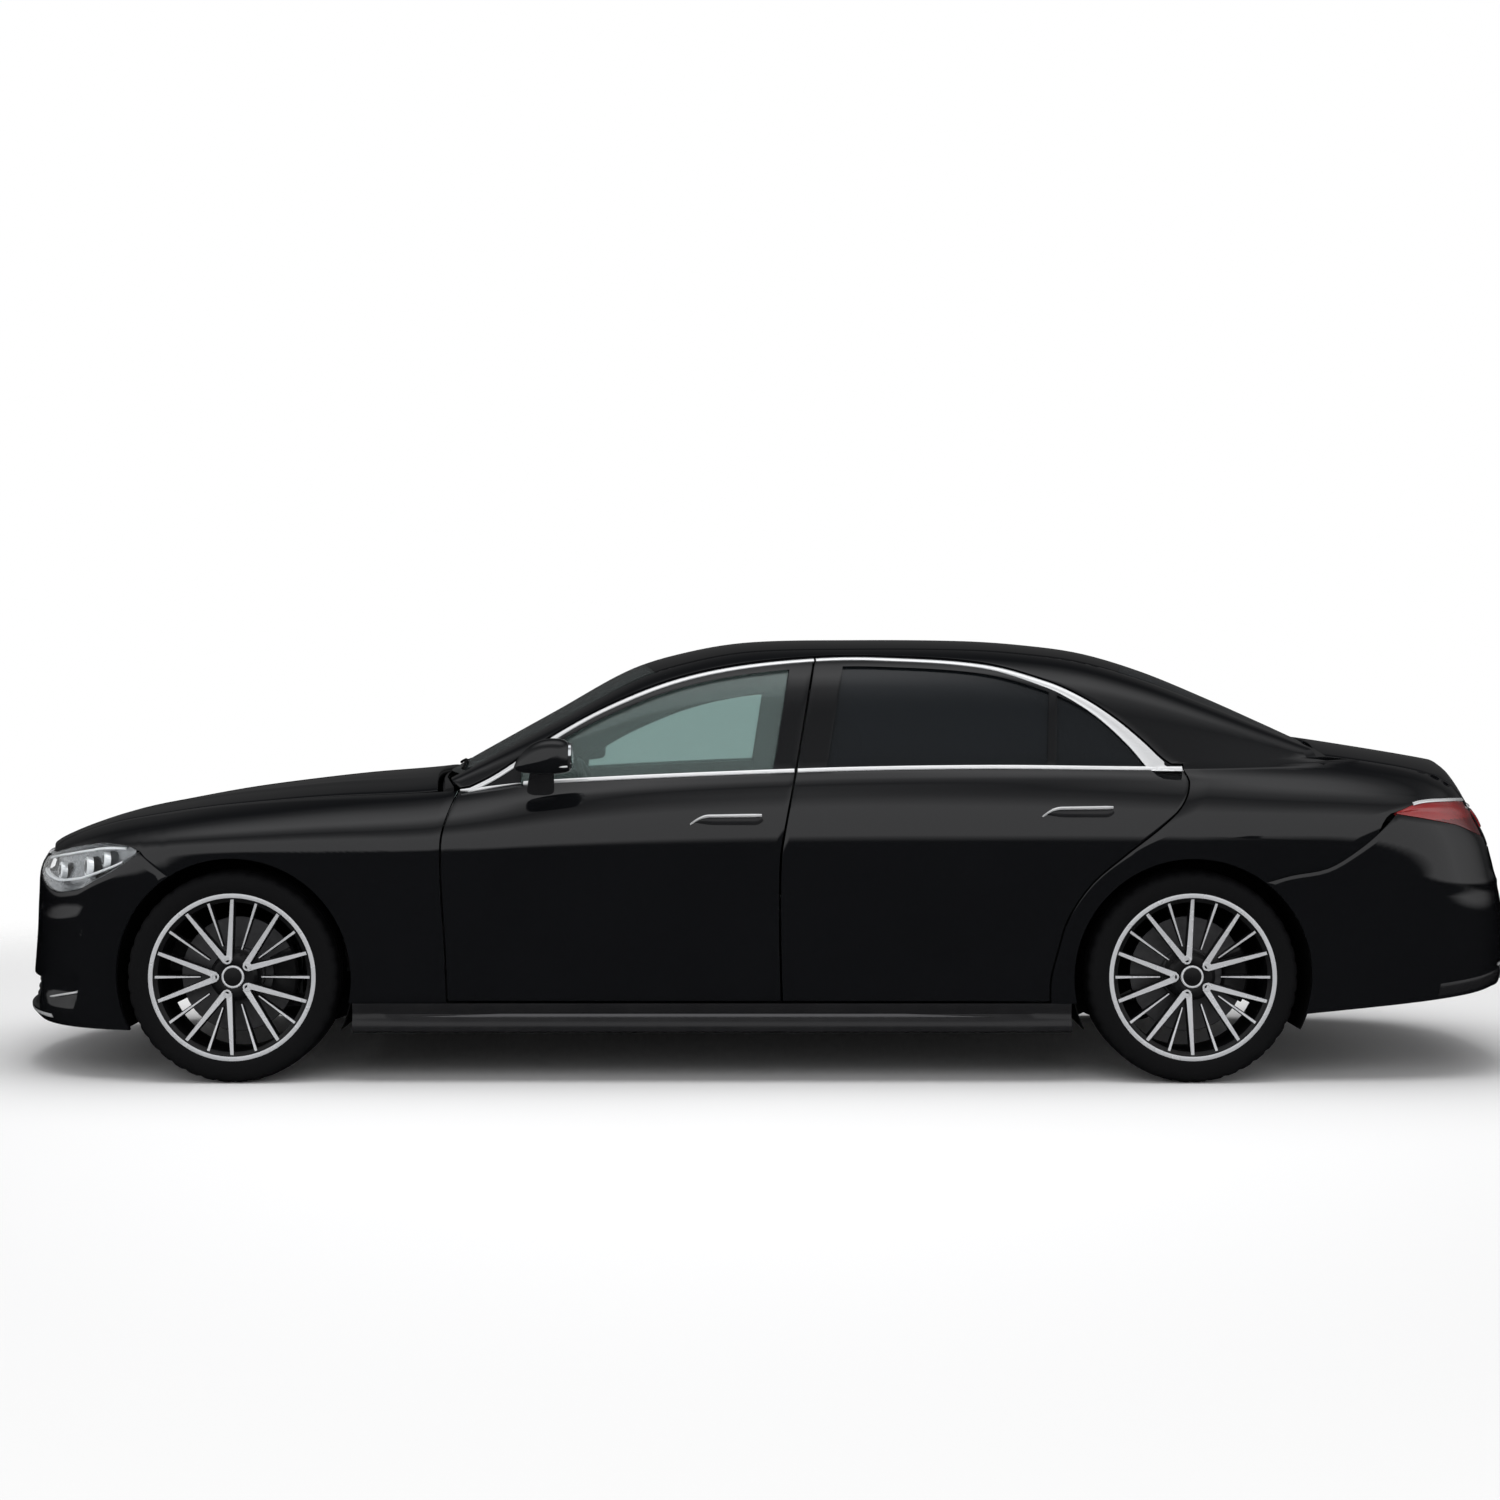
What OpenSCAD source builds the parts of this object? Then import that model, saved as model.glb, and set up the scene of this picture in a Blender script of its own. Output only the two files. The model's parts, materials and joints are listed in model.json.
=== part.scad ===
// Long-wheelbase four-door saloon, body panels, wheels and cabin as separate pieces.
// Frame: +X forward, +Y to the left side, +Z up, origin on the ground below the middle.

/* [Overall size] */
// Length over both bumpers
body_length = 5289; // [5260:1:5320]
// Width over the body sides without the mirrors
body_width = 1954; // [1940:1:1968]
// Height of the roof above the ground
roof_height = 1503; // [1490:1:1515]
// Distance between the two axles
wheelbase = 3216; // [3190:1:3240]
// Distance from the front axle to the nose
front_overhang = 859; // [850:1:870]

/* [Wheels] */
// Outer radius of the tyres
tyre_radius = 356; // [350:1:358]
// Width of the tyres
tyre_width = 255; // [245:1:260]
// Radius of the rim flange
rim_radius = 284; // [276:1:288]
// Distance between the wheel centre planes of one axle
track = 1654; // [1644:1:1660]
// Radius of the wheel openings in the body
arch_radius = 398; // [396:1:404]
// Number of double spokes in one rim
double_spokes = 5; // [4:1:6]
// Radius of the brake discs
disc_radius = 195; // [180:1:205]

/* [Body lines] */
// Height of the waist line below the side glass
belt_height = 1045; // [1035:1:1055]
// Height of the widest line on the body side
widest_height = 760; // [745:1:775]
// Height of the lower edge of the doors
door_bottom = 276; // [270:1:284]
// Height of the underside of the sills
sill_bottom = 168; // [160:1:180]
// Lean of the side glass, sideways per unit of height
glass_lean = 0.42; // [0.40:0.01:0.44]

/* [Thickness] */
// Depth of a door from skin to trim
door_depth = 110; // [104:1:116]
// Depth of the window frames
frame_depth = 42; // [38:1:46]
// Thickness of the side panes
pane = 5; // [4:0.5:6]
// Thickness of the front and rear windows
screen = 8; // [7:0.5:9]
// Thickness of the hood and the trunk lid
lid_depth = 36; // [32:1:40]

/* [Clearances] */
// Gap round the doors and lids
shut_gap = 6; // [5.5:0.5:7]
// Gap between panels that are fastened together
seam = 0.3; // [0.2:0.1:0.5]
// Radial play of the hinge pins in their lugs
pin_play = 0.4; // [0.3:0.1:0.6]

/* [Hubs] */
// Radius of the bore in the wheel hubs
hub_bore = 34; // [30:1:36]

/* [Hinges] */
// Radius of the door hinge pins
pin_radius = 6; // [5:0.5:7]
// Distance of the door axis behind the front edge of the door
hinge_back = 65; // [62:1:68]
// Distance of the door axis inside the widest line
hinge_inset = 42; // [40:1:44]

/* [Hidden] */
nose = body_length / 2;
tail = -body_length / 2;
front_axle = nose - front_overhang;
rear_axle = front_axle - wheelbase;
half = body_width / 2;
hub = tyre_radius;
rise_full = roof_height - belt_height;
edge_level = 0.9;
edge_y = 585;
$fn = 48;

// Smooth curve through [position, value] pairs sorted by position.
function step_of(c, p) = len([for (k = [1:1:len(c) - 2]) if (p >= c[k][0]) k]);
function grade(c, i) =
  let (a = max(i - 1, 0), b = min(i + 1, len(c) - 1))
  (c[b][1] - c[a][1]) / (c[b][0] - c[a][0]);
function curve(c, p) =
  let (
    i = step_of(c, p),
    h = c[i + 1][0] - c[i][0],
    t = min(1, max(0, (p - c[i][0]) / h)),
    s = 1 - t
  )
  c[i][1] * (1 + 2 * t) * s * s + grade(c, i) * h * t * s * s
  + c[i + 1][1] * t * t * (3 - 2 * t) - grade(c, i + 1) * h * t * t * s;
function mix(a, b, t) = a + (b - a) * t;
// Point on a polyline of [x, z] pairs at the fraction f of its list.
function along(c, f) =
  let (g = f * (len(c) - 1), i = min(len(c) - 2, floor(g)))
  mix(c[i], c[i + 1], g - i);
function cabin(f) = rear_axle + f * wheelbase;
function rise(h) = belt_height + h * rise_full;

// Hood, virtual shoulder top and trunk heights on the middle plane.
crown_line = [
  [tail, 1030], [rear_axle - 1000, 1068], [rear_axle - 817, 1099],
  [rear_axle - 598, 1134], [rear_axle - 489, 1150], [rear_axle - 300, 1172],
  [rear_axle, 1215], [cabin(0.15), 1265], [cabin(0.36), 1285],
  [cabin(0.54), 1245], [cabin(0.66), 1165], [cabin(0.74), 1085],
  [front_axle - 640, 1043], [front_axle - 311, 1013], [front_axle - 92, 988],
  [front_axle + 128, 958], [front_axle + 346, 918], [front_axle + 456, 896],
  [front_axle + 565, 863], [front_axle + 675, 823], [front_axle + 774, 779],
  [nose, 720]
];
// Half width at the widest line.
plan_line = [
  [tail, half - 16], [rear_axle - 500, half - 8], [rear_axle, half],
  [cabin(0.3), half - 9], [cabin(0.7), half - 14], [front_axle, half - 8],
  [nose, half - 12]
];
// Nose and tail profiles as distances from the ends, by height.
nose_line = [
  [140, 70], [204, 2], [300, 8], [470, 22], [600, 28], [700, 38], [779, 85], [900, 150]
];
tail_line = [
  [150, 140], [226, 60], [296, 16], [380, 2], [462, 0], [560, 6], [645, 24],
  [730, 45], [810, 70], [935, 138], [1060, 184], [1160, 220]
];
// Shape of the roof on the middle plane as fractions of the rise above the belt.
roof_line = [
  [cabin(-0.186), 0.12], [cabin(-0.152), 0.225], [cabin(-0.118), 0.336],
  [cabin(-0.05), 0.552], [cabin(0.0185), 0.751], [cabin(0.0866), 0.895],
  [cabin(0.154), 0.961], [cabin(0.223), 0.993], [cabin(0.3475), 1],
  [cabin(0.461), 0.983], [cabin(0.529), 0.91], [cabin(0.597), 0.766],
  [cabin(0.682), 0.437], [cabin(0.767), 0.105], [cabin(0.8015), -0.033],
  [cabin(0.85), -0.2]
];
// Waist line and upper edge of the doors.
belt_line = [
  [cabin(-0.2), 15], [cabin(0.01), 5], [cabin(0.22), 10], [cabin(0.413), -2],
  [cabin(0.69), -44], [cabin(0.767), -77], [cabin(0.85), -115]
];
door_top_line = [
  [cabin(0.01), 0.004], [cabin(0.028), 0.083], [cabin(0.0475), 0.216],
  [cabin(0.074), 0.376], [cabin(0.108), 0.537], [cabin(0.146), 0.662],
  [cabin(0.2135), 0.795], [cabin(0.323), 0.849], [cabin(0.391), 0.843],
  [cabin(0.477), 0.779], [cabin(0.5455), 0.668], [cabin(0.613), 0.478],
  [cabin(0.663), 0.286], [cabin(0.73), -0.03], [cabin(0.7667), -0.16]
];
bow_line = [
  [cabin(-0.2), -80], [cabin(0.1), -60], [cabin(0.3), 0], [cabin(0.4), 0],
  [cabin(0.6), 60], [cabin(0.85), 80]
];
// Fullness of the shoulder: higher is squarer.
full_line = [[rear_axle - 900, 4.2], [rear_axle, 3.3], [cabin(0.5), 3], [front_axle, 3]];

front_start = front_axle - 485;
rear_start = rear_axle - 70;
function crown(x) = curve(crown_line, x);
function belt(x) = belt_height + curve(belt_line, x);
function door_top(x) = rise(curve(door_top_line, x));
function nose_x(z) = nose - curve(nose_line, z);
function tail_x(z) = tail + curve(tail_line, z);
function taper(x, z) =
  x > front_start ? sqrt(1 - pow(min(1, (x - front_start) / (nose_x(z) - front_start)), 6))
  : x < rear_start ? pow(1 - pow(min(1, (rear_start - x) / (rear_start - tail_x(z))), 6), 1 / 2.2)
  : 1;
// Half width of the lower body at a station and height.
function swell(x, z) =
  z > widest_height
  ? pow(1 - pow(min(1, (z - widest_height) / (crown(x) - widest_height)), curve(full_line, x)), 0.406)
  : 1 - 0.025 * pow((widest_height - z) / (widest_height - 280), 2);
function lower_y(x, z) = curve(plan_line, x) * taper(x, z) * swell(x, z);
// Height of hood or trunk at a station and half width, found by halving.
function find_z(x, y, a, b, n) =
  let (m = (a + b) / 2)
  n == 0 ? m : lower_y(x, m) > y ? find_z(x, y, m, b, n - 1) : find_z(x, y, a, m, n - 1);
function top_z(x, y) = find_z(x, abs(y), widest_height, crown(x), 14);
// Station of the rear face at a half width and height, found the same way.
function find_x(y, z, a, b, n) =
  let (m = (a + b) / 2)
  n == 0 ? m : lower_y(m, z) > y ? find_x(y, z, m, b, n - 1) : find_x(y, z, a, m, n - 1);
function tail_face_x(y, z) = find_x(abs(y), z, rear_start, tail_x(z), 16);
// Stations on the bumper faces by turning angle from the side to the middle.
function front_x(a, z) = front_start + (nose_x(z) - front_start) * pow(sin(a), 1 / 3);
function rear_x(a, z) = rear_start - (rear_start - tail_x(z)) * pow(sin(a), 1 / 3);
function front_angle(x, z) = asin(pow(min(1, (x - front_start) / (nose_x(z) - front_start)), 3));
function rear_angle(x, z) = asin(pow(min(1, (rear_start - x) / (rear_start - tail_x(z))), 3));
// Greenhouse above the belt.
function roof_mid(x) = rise(curve(roof_line, x));
function upper_h(x, y) = roof_mid(x + curve(bow_line, x) * pow(min(1, abs(y) / edge_y), 2)) - belt(x);
function upper_y(x, z) =
  let (d = z - belt(x), t = min(1, max(0, d / upper_h(x, edge_y))))
  (lower_y(x, belt(x)) - glass_lean * d) * sqrt(1 - pow(t, 10));
function side_y(x, z) = z > belt(x) ? upper_y(x, z) : lower_y(x, z);
function roof_z(x, y) =
  let (
    h = upper_h(x, y),
    b = lower_y(x, belt(x)),
    t0 = pow(1 - pow(min(1, abs(y) / (b - glass_lean * h * 0.97)), 2), 0.1),
    t = pow(1 - pow(min(1, abs(y) / (b - glass_lean * h * t0)), 2), 0.1)
  )
  belt(x) + h * t;
// Level at which side frame and roof, windscreen or rear window meet.
function edge_z(x) = belt(x) + edge_level * upper_h(x, edge_y);
function side(p, d = 0) = [p[0], side_y(p[0], p[1]) - d, p[1]];
// Point on a wheel opening.
function arch(axle, a, r = arch_radius) = [axle + r * cos(a), hub + r * sin(a)];
// Keeps a point of the body side out of a wheel opening.
function out_of_arch(p, axle) =
  let (v = [p[0] - axle, p[1] - hub], d = norm(v))
  d < arch_radius ? [axle + v[0] * arch_radius / d, hub + v[1] * arch_radius / d] : p;

// Solid between an outer and an inner grid of points, some cells left open.
module skin(na, nb, outer, inner, open = function (i, j) false) {
  m = nb + 1;
  n = (na + 1) * m;
  full = function (i, j) i >= 0 && j >= 0 && i < na && j < nb && !open(i, j);
  points = [
    for (i = [0:na]) for (j = [0:nb]) outer(i, j),
    for (i = [0:na]) for (j = [0:nb]) inner(i, j)
  ];
  cells = [for (i = [0:na - 1]) for (j = [0:nb - 1]) if (full(i, j)) [i, j]];
  wall = function (p, q) [[p, p + n, q + n], [p, q + n, q]];
  faces = [
    for (c = cells)
      let (a = c[0] * m + c[1], b = a + m)
      each concat(
        [[a, b, b + 1], [a, b + 1, a + 1], [a + n, b + 1 + n, b + n], [a + n, a + 1 + n, b + 1 + n]],
        full(c[0] - 1, c[1]) ? [] : wall(a + 1, a),
        full(c[0] + 1, c[1]) ? [] : wall(b, b + 1),
        full(c[0], c[1] - 1) ? [] : wall(a, b),
        full(c[0], c[1] + 1) ? [] : wall(b + 1, a + 1)
      )
  ];
  polyhedron(points, [for (f = faces) [f[0], f[1], f[2]]]);
}
module both() {
  children();
  mirror([0, 1, 0]) children();
}

// Door outlines.
function b_cut(z) =
  cabin(0.43) + curve([[270, -8], [440, -3], [742, -4], [859, -21], [1038, -55], [1433, -125]], z);
function front_edge(z) = cabin(0.767) + curve([[270, 30], [445, 36], [806, 50], [951, 14], [1000, -4]], z);
rear_edge_line = [
  [270, 477], [349, 476], [444, 453], [554, 419], [676, 336], [770, 225],
  [859, 111], [929, 39], [1005, 8], [1050, 24]
];
function rear_edge(z) = rear_axle + curve(rear_edge_line, z);
function top_edge(x) = max(door_top(x), belt(x) + 14);

// Door columns: fractions of the slab, then millimetres behind the front edge as negative values.
slab_back = 97;
function column(a, x0, x1) = a < 0 ? x1 + a : mix(x0, x1 - slab_back, a);
// Points of a door at column a and row fraction b, rows above 1 are the window frame.
function door_point(a, b, aft, fore) =
  let (
    low = b <= 1,
    z0 = low ? mix(door_bottom, belt_height - 10, b) : belt_height,
    x0 = column(a, aft(z0), fore(z0)),
    z1 = low ? mix(door_bottom, belt(x0), b) : mix(belt(x0), top_edge(x0), b - 1),
    x1 = column(a, aft(z1), fore(z1))
  )
  [x1, low ? mix(door_bottom, belt(x1), b) : mix(belt(x1), top_edge(x1), b - 1)];

half_gap = shut_gap / 2;
front_aft = function (z) b_cut(z) + half_gap + 2.5;
front_fore = function (z) front_edge(z) - half_gap;
rear_aft = function (z) rear_edge(z) + half_gap;
rear_fore = function (z) b_cut(z) - half_gap - 1;
front_cols = [0, 0.07, 0.16, 0.27, 0.38, 0.49, 0.6, 0.7, 0.8, 0.9, 1, -89, -0.01];
rear_cols = [0, 0.03, 0.06, 0.095, 0.15, 0.21, 0.28, 0.355, 0.38, 0.48, 0.58, 0.69, 0.8, 0.9, 1,
  -89, -0.01];
door_rows = [0, 0.1, 0.2, 0.32, 0.44, 0.55, 0.65, 0.74, 0.82, 0.89, 0.95, 1];
upper_rows = 4;
flange = 16;
function frame_share(h) = 1 - min(0.4, 36 / h);
function door_row(a, j, aft, fore) =
  let (nl = len(door_rows) - 1, nb = nl + upper_rows, x = column(a, aft(belt_height + 150),
    fore(belt_height + 150)))
  j <= nl ? door_rows[j]
  : j == nb ? 2
  : 1 + frame_share(top_edge(x) - belt(x)) * (j - nl) / (upper_rows - 1);

module door_shell(aft, fore, cols, open_from, open_to, bar) {
  na = len(cols) - 1;
  nl = len(door_rows) - 1;
  nb = nl + upper_rows;
  deep = function (i, j)
    i >= na - 1 ? flange
    : j < nl - 1 ? door_depth
    : j == nl - 1 ? door_depth - 10
    : j == nl ? door_depth - 32
    : frame_depth;
  at = function (i, j) door_point(cols[i], door_row(cols[i], j, aft, fore), aft, fore);
  outer = function (i, j) side(at(i, j));
  inner = function (i, j)
    let (
      p = at(i, j),
      d = deep(i, j),
      dx = i == 0 ? 0.6 * d : i == na ? -4 : 0,
      dz = j == 0 ? 14 : j == nb ? -0.5 * min(frame_depth, 0.4 * (p[1] - belt(p[0]))) : 0,
      q = [p[0] + dx, p[1] + dz]
    ) side(q, d);
  open = function (i, j) j >= nl && j < nb - 1 && i >= open_from && i < open_to && i != bar;
  skin(na, nb, outer, inner, open);
}

// Panes between two columns of a door, set back from the skin.
pane_set = 12;
module door_pane(aft, fore, cols, from, to) {
  nl = len(door_rows) - 1;
  nb = upper_rows - 1;
  na = to - from;
  spot = function (i, j, d)
    let (
      p = door_point(cols[from + i], door_row(cols[from + i], nl + j, aft, fore), aft, fore),
      dx = i == 0 ? 1 : i == na ? -1 : 0,
      dz = j == 0 ? 1 : j == nb ? -1 : 0
    ) [p[0] + dx, side_y(p[0], p[1]) - d, p[1] + dz];
  skin(na, nb, function (i, j) spot(i, j, pane_set), function (i, j) spot(i, j, pane_set + pane));
}

// Hinges: arms with pins on the pillar, lugs with bores on the door.
front_hinge = [front_edge(600) - half_gap - hinge_back, half - 13 - hinge_inset];
rear_hinge = [b_cut(600) - half_gap - hinge_back, half - 8 - hinge_inset];
hinge_heights = [460, 740];
arm_half = 12;
lug_tall = 20;
module hinge_arm(at, from_y) {
  for (h = hinge_heights) {
    translate([at[0] - 9, from_y, h - arm_half]) cube([18, at[1] - from_y, 2 * arm_half]);
    translate([at[0], at[1], h - arm_half]) cylinder(r = 9, h = 2 * arm_half);
    translate([at[0], at[1], h - arm_half - lug_tall]) cylinder(r = pin_radius,
      h = 2 * (arm_half + lug_tall));
  }
}
module hinge_lugs(at) {
  for (h = hinge_heights)
    for (z = [h - arm_half - lug_tall, h + arm_half + 0.5])
      translate([at[0], at[1], z])
        difference() {
          union() {
            cylinder(r = 11, h = lug_tall - 0.5);
            translate([-60, -11, 0]) cube([60, 20, lug_tall - 0.5]);
          }
          translate([0, 0, -1]) cylinder(r = pin_radius + pin_play, h = lug_tall + 2);
        }
}

module front_door() {
  color("#101114") {
    door_shell(front_aft, front_fore, front_cols, 1, 9, -1);
    hinge_lugs(front_hinge);
  }
}
module rear_door() {
  color("#101114") {
    door_shell(rear_aft, rear_fore, rear_cols, 3, 14, 7);
    hinge_lugs(rear_hinge);
  }
}
module front_door_left() front_door();
module front_door_right() mirror([0, 1, 0]) front_door();
module rear_door_left() rear_door();
module rear_door_right() mirror([0, 1, 0]) rear_door();
module front_pane() color("#4b6a68") door_pane(front_aft, front_fore, front_cols, 1, 9);
module rear_pane() {
  color("#1b2022") {
    door_pane(rear_aft, rear_fore, rear_cols, 3, 7);
    door_pane(rear_aft, rear_fore, rear_cols, 8, 14);
  }
}
module front_glass_left() front_pane();
module front_glass_right() mirror([0, 1, 0]) front_pane();
module rear_glass_left() rear_pane();
module rear_glass_right() mirror([0, 1, 0]) rear_pane();

// Mirror head and foot on the front door.
mirror_x = cabin(0.68);
module mirror_head() {
  color("#101114")
    translate([mirror_x, half - 30, 1098])
      hull() {
        for (p = [[-62, 0, 40], [50, 8, 34], [-66, 112, 34], [26, 100, 24]])
          for (s = [-1, 1])
            translate([p[0], p[1], s * p[2]]) sphere(r = 16, $fn = 10);
      }
}
module mirror_foot() {
  y0 = max(side_y(mirror_x - 50, 978), side_y(mirror_x + 40, 978)) - 1.2;
  color("#101114") {
    translate([mirror_x - 50, y0, 978]) cube([90, half + 30 - y0, 22]);
    translate([mirror_x - 40, half - 22, 999]) cube([70, 46, 62]);
  }
}
module mirror_left() {
  mirror_head();
  mirror_foot();
}
module mirror_right() mirror([0, 1, 0]) mirror_left();

// Hood and trunk lid.
hood_edge_line = [
  [front_axle - 640, 775], [front_axle - 311, 752], [front_axle + 128, 725],
  [front_axle + 456, 685], [front_axle + 600, 640], [front_axle + 690, 592], [front_axle + 790, 520]
];
function hood_edge(x) = curve(hood_edge_line, x);
hood_rear = front_axle - 622;
hood_front = front_axle + 776;
function hood_x(t, c) = mix(hood_rear - 45 * c * c, hood_front - 90 * c * c, t);
module hood() {
  rows = [0, 0.1, 0.25, 0.4, 0.55, 0.7, 0.8, 0.88, 0.94, 1];
  cols = [1, 0.86, 0.65, 0.4, 0.2, 0, -0.2, -0.4, -0.65, -0.86, -1];
  na = len(rows) - 1;
  nb = len(cols) - 1;
  spot = function (t, c, d, sx, sy)
    let (x = hood_x(t, c), y = c * (hood_edge(x) - half_gap - 1)) [x + sx, y + sy, top_z(x, y) - d];
  color("#101114")
    skin(
      na, nb,
      function (i, j) spot(rows[i], cols[j], 0, 0, 0),
      function (i, j) spot(
        rows[i], cols[j], lid_depth,
        i == 0 ? 40 : i == na ? -hood_inset : 0,
        j == 0 ? -22 : j == nb ? 22 : 0
      )
    );
}

lid_front = rear_axle - 505;
lid_low = 778;
lid_edge_line = [
  [rear_axle - 990, 600], [rear_axle - 900, 655], [rear_axle - 720, 695], [rear_axle - 500, 702]
];
function lid_edge(x) = curve(lid_edge_line, x);
lid_face_half = 610;
module trunk_lid() {
  faces = [lid_low, 840, 900, 960, 1010];
  decks = [0, 0.12, 0.3, 0.55, 0.8, 1];
  cols = [1, 0.82, 0.55, 0.28, 0, -0.28, -0.55, -0.82, -1];
  nf = len(faces);
  na = nf + len(decks) - 1;
  nb = len(cols) - 1;
  rim = function (c) tail_face_x(c * lid_face_half, 1030) + 22;
  spot = function (i, c)
    i < nf
    ? let (y = c * lid_face_half) [tail_face_x(y, faces[i]), y, faces[i]]
    : let (
        t = decks[i - nf],
        x = mix(rim(c), lid_front + 40 * c * c, t),
        y = c * mix(lid_face_half, lid_edge(x), min(1, t * 4))
      ) [x, y, top_z(x, y)];
  back = function (i, j)
    let (
      p = spot(i, cols[j]),
      sy = j == 0 ? -24 : j == nb ? 24 : 0,
      m = i < nf ? [lid_depth, 0] : i == nf ? [lid_depth, -lid_depth] : [i == na ? -40 : 0, -lid_depth],
      up = i == 0 ? lid_rise : 0
    ) [p[0] + m[0], p[1] + sy, p[2] + m[1] + up];
  color("#101114") skin(na, nb, function (i, j) spot(i, cols[j]), back);
}

lamp_low_line = [[0.175, 772], [0.33, 700], [0.56, 628], [0.65, 646], [0.73, 690]];
lamp_high_line = [[0.175, 779], [0.25, 793], [0.464, 801], [0.6, 774], [0.73, 736]];
lamp_seam = 1.5;
// Front fenders.
sill_top = door_bottom - 8;
seam_angle = 57.7;
function lamp_top_spot(s) = let (p = end_front(s, curve(lamp_high_line, s) + seam)) [p[0], p[2]];
lamp_cols = [0.175, 0.25, 0.34, 0.44, 0.52, 0.58, 0.65, 0.73];
fender_low = concat(
  [[front_edge(door_bottom) + half_gap + 1, sill_top + seam]],
  [[front_axle - sqrt(pow(arch_radius, 2) - pow(hub - sill_top, 2)), sill_top + seam]],
  [for (a = [180, 160, 140, 122, 106, 92, 80, 69, seam_angle]) arch(front_axle, a)],
  [for (k = [0:6]) lamp_top_spot(lamp_cols[k])]
);
fender_high = [
  for (k = [0, 0.07, 0.16, 0.24, 0.32, 0.39, 0.46, 0.53, 0.58, 0.63, 0.68, 0.74, 0.79, 0.85, 0.9,
    0.95, 0.975, 1])
    mix(front_axle - 697, front_axle + 690, k)
];
module fender() {
  na = len(fender_low) - 1;
  rows = [0, 0.14, 0.28, 0.42, 0.55, 0.64, 0.72, 0.8, 0.9, 1];
  nb = len(rows) - 1;
  spot = function (i, j, d)
    let (
      x1 = fender_high[i],
      p1 = [x1, top_z(x1, hood_edge(x1) + half_gap + 2 + max(0, x1 - front_axle - 560) / 26)],
      p0 = fender_low[i],
      t = rows[j],
      q = [mix(p0[0], p1[0], t), mix(p0[1], p1[1], t)],
      r = i == 0 ? [front_edge(q[1]) + half_gap + 1, q[1]] : q,
      dx = i == 0 ? d : i == na ? -d * 0.5 : 0,
      drop = min(d * 0.8, 0.4 * (p1[1] - p0[1]))
    ) [
      r[0] + dx,
      lower_y(r[0] + dx, r[1]) - (j == nb ? 0.6 * drop : d),
      r[1] - (j == nb ? drop : 0)
    ];
  skin(na, nb, function (i, j) spot(i, j, 0), function (i, j) spot(i, j, 24));
}
module front_fenders() color("#101114") both() fender();

// Points on the bumper faces by fraction from the wheel opening to the middle.
function end_front(s, z) =
  let (
    a0 = front_axle + sqrt(pow(arch_radius, 2) - pow(min(z, hub + arch_radius * sin(seam_angle)) - hub, 2)),
    c = front_start + 0.78 * (nose_x(z) - front_start),
    a = mix(asin(pow(0.78, 3)), 90, 2 * s - 1),
    x = s < 0.5 ? mix(a0, c, 2 * s) : front_x(a, z)
  )
  s > 0.999 ? [nose_x(z), 0, z] : [x, lower_y(x, min(z, crown(x) - 3)), z];
rear_seam_angle = 127;
function end_rear(s, z) =
  let (
    a0 = rear_axle - sqrt(pow(arch_radius, 2) - pow(min(z,
      hub + arch_radius * sin(rear_seam_angle)) - hub, 2)),
    c = rear_start - 0.8 * (rear_start - tail_x(z)),
    a = mix(asin(pow(0.8, 3)), 90, 2 * s - 1),
    x = s < 0.5 ? mix(a0, c, 2 * s) : rear_x(a, z)
  )
  s > 0.999 ? [tail_x(z), 0, z] : [x, lower_y(x, z), z];
function turn(s) = 90 * min(1, max(0, (s - 0.2) / 0.7));
// Full face from left to right: k runs from -1 on the left to 1 on the right.
function face_front(k, z, d) =
  let (s = 1 - abs(k), p = end_front(s, z), a = turn(s))
  [p[0] - d * sin(a), (k < 0 ? 1 : -1) * max(0, p[1] - d * cos(a)), z];
function face_rear(k, z, d) =
  let (s = 1 - abs(k), p = end_rear(s, z), a = turn(s))
  [p[0] + d * sin(a), (k < 0 ? -1 : 1) * max(0, p[1] - d * cos(a)), z];
function both_ways(c) = concat([for (s = c) s - 1], [for (i = [len(c) - 2:-1:0]) 1 - c[i]]);

bumper_top_line = [[0, hub + arch_radius * sin(seam_angle)], [0.175, 772]];
grille_from = 0.76;
grille_low = 372;
function bumper_top(s) =
  s < 0.175 ? mix(bumper_top_line[0][1], 772, s / 0.175)
  : s <= 0.73 ? curve(lamp_low_line, s)
  : 748;
module front_bumper() {
  cols = concat([0, 0.08], lamp_cols, [grille_from, 0.84, 0.92, 1]);
  ks = both_ways(cols);
  nb = 6;
  z_of = function (k, j)
    let (s = 1 - abs(k), t = bumper_top(s) - seam)
    j == 0 ? 172 : j == 1 ? 216 : j == 2 ? 326 : j == 3 ? grille_low : mix(grille_low, t, (j - 3) / 3);
  open = function (i, j)
    let (s = 1 - abs(ks[i]), r = 1 - abs(ks[i + 1]), m = min(s, r))
    (m >= grille_from && j >= 3) || (m >= 0.64 && j == 1);
  color("#101114")
    skin(
      len(ks) - 1, nb,
      function (i, j) face_front(ks[i], z_of(ks[i], j), 0),
      function (i, j) face_front(ks[i], z_of(ks[i], j), 30),
      open
    );
}

module headlamp() {
  ks = [for (s = lamp_cols) s - 1];
  nb = 3;
  z_of = function (k, j)
    let (s = 1 + k) mix(curve(lamp_low_line, s) + 1.6 * lamp_seam, curve(lamp_high_line,
      s) - lamp_seam, j / nb);
  skin(
    len(ks) - 1, nb,
    function (i, j) face_front(ks[i], z_of(ks[i], j), 2),
    function (i, j) face_front(ks[i], z_of(ks[i], j), 32)
  );
}
module headlamps() color("#d8dde0") both() headlamp();

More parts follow.
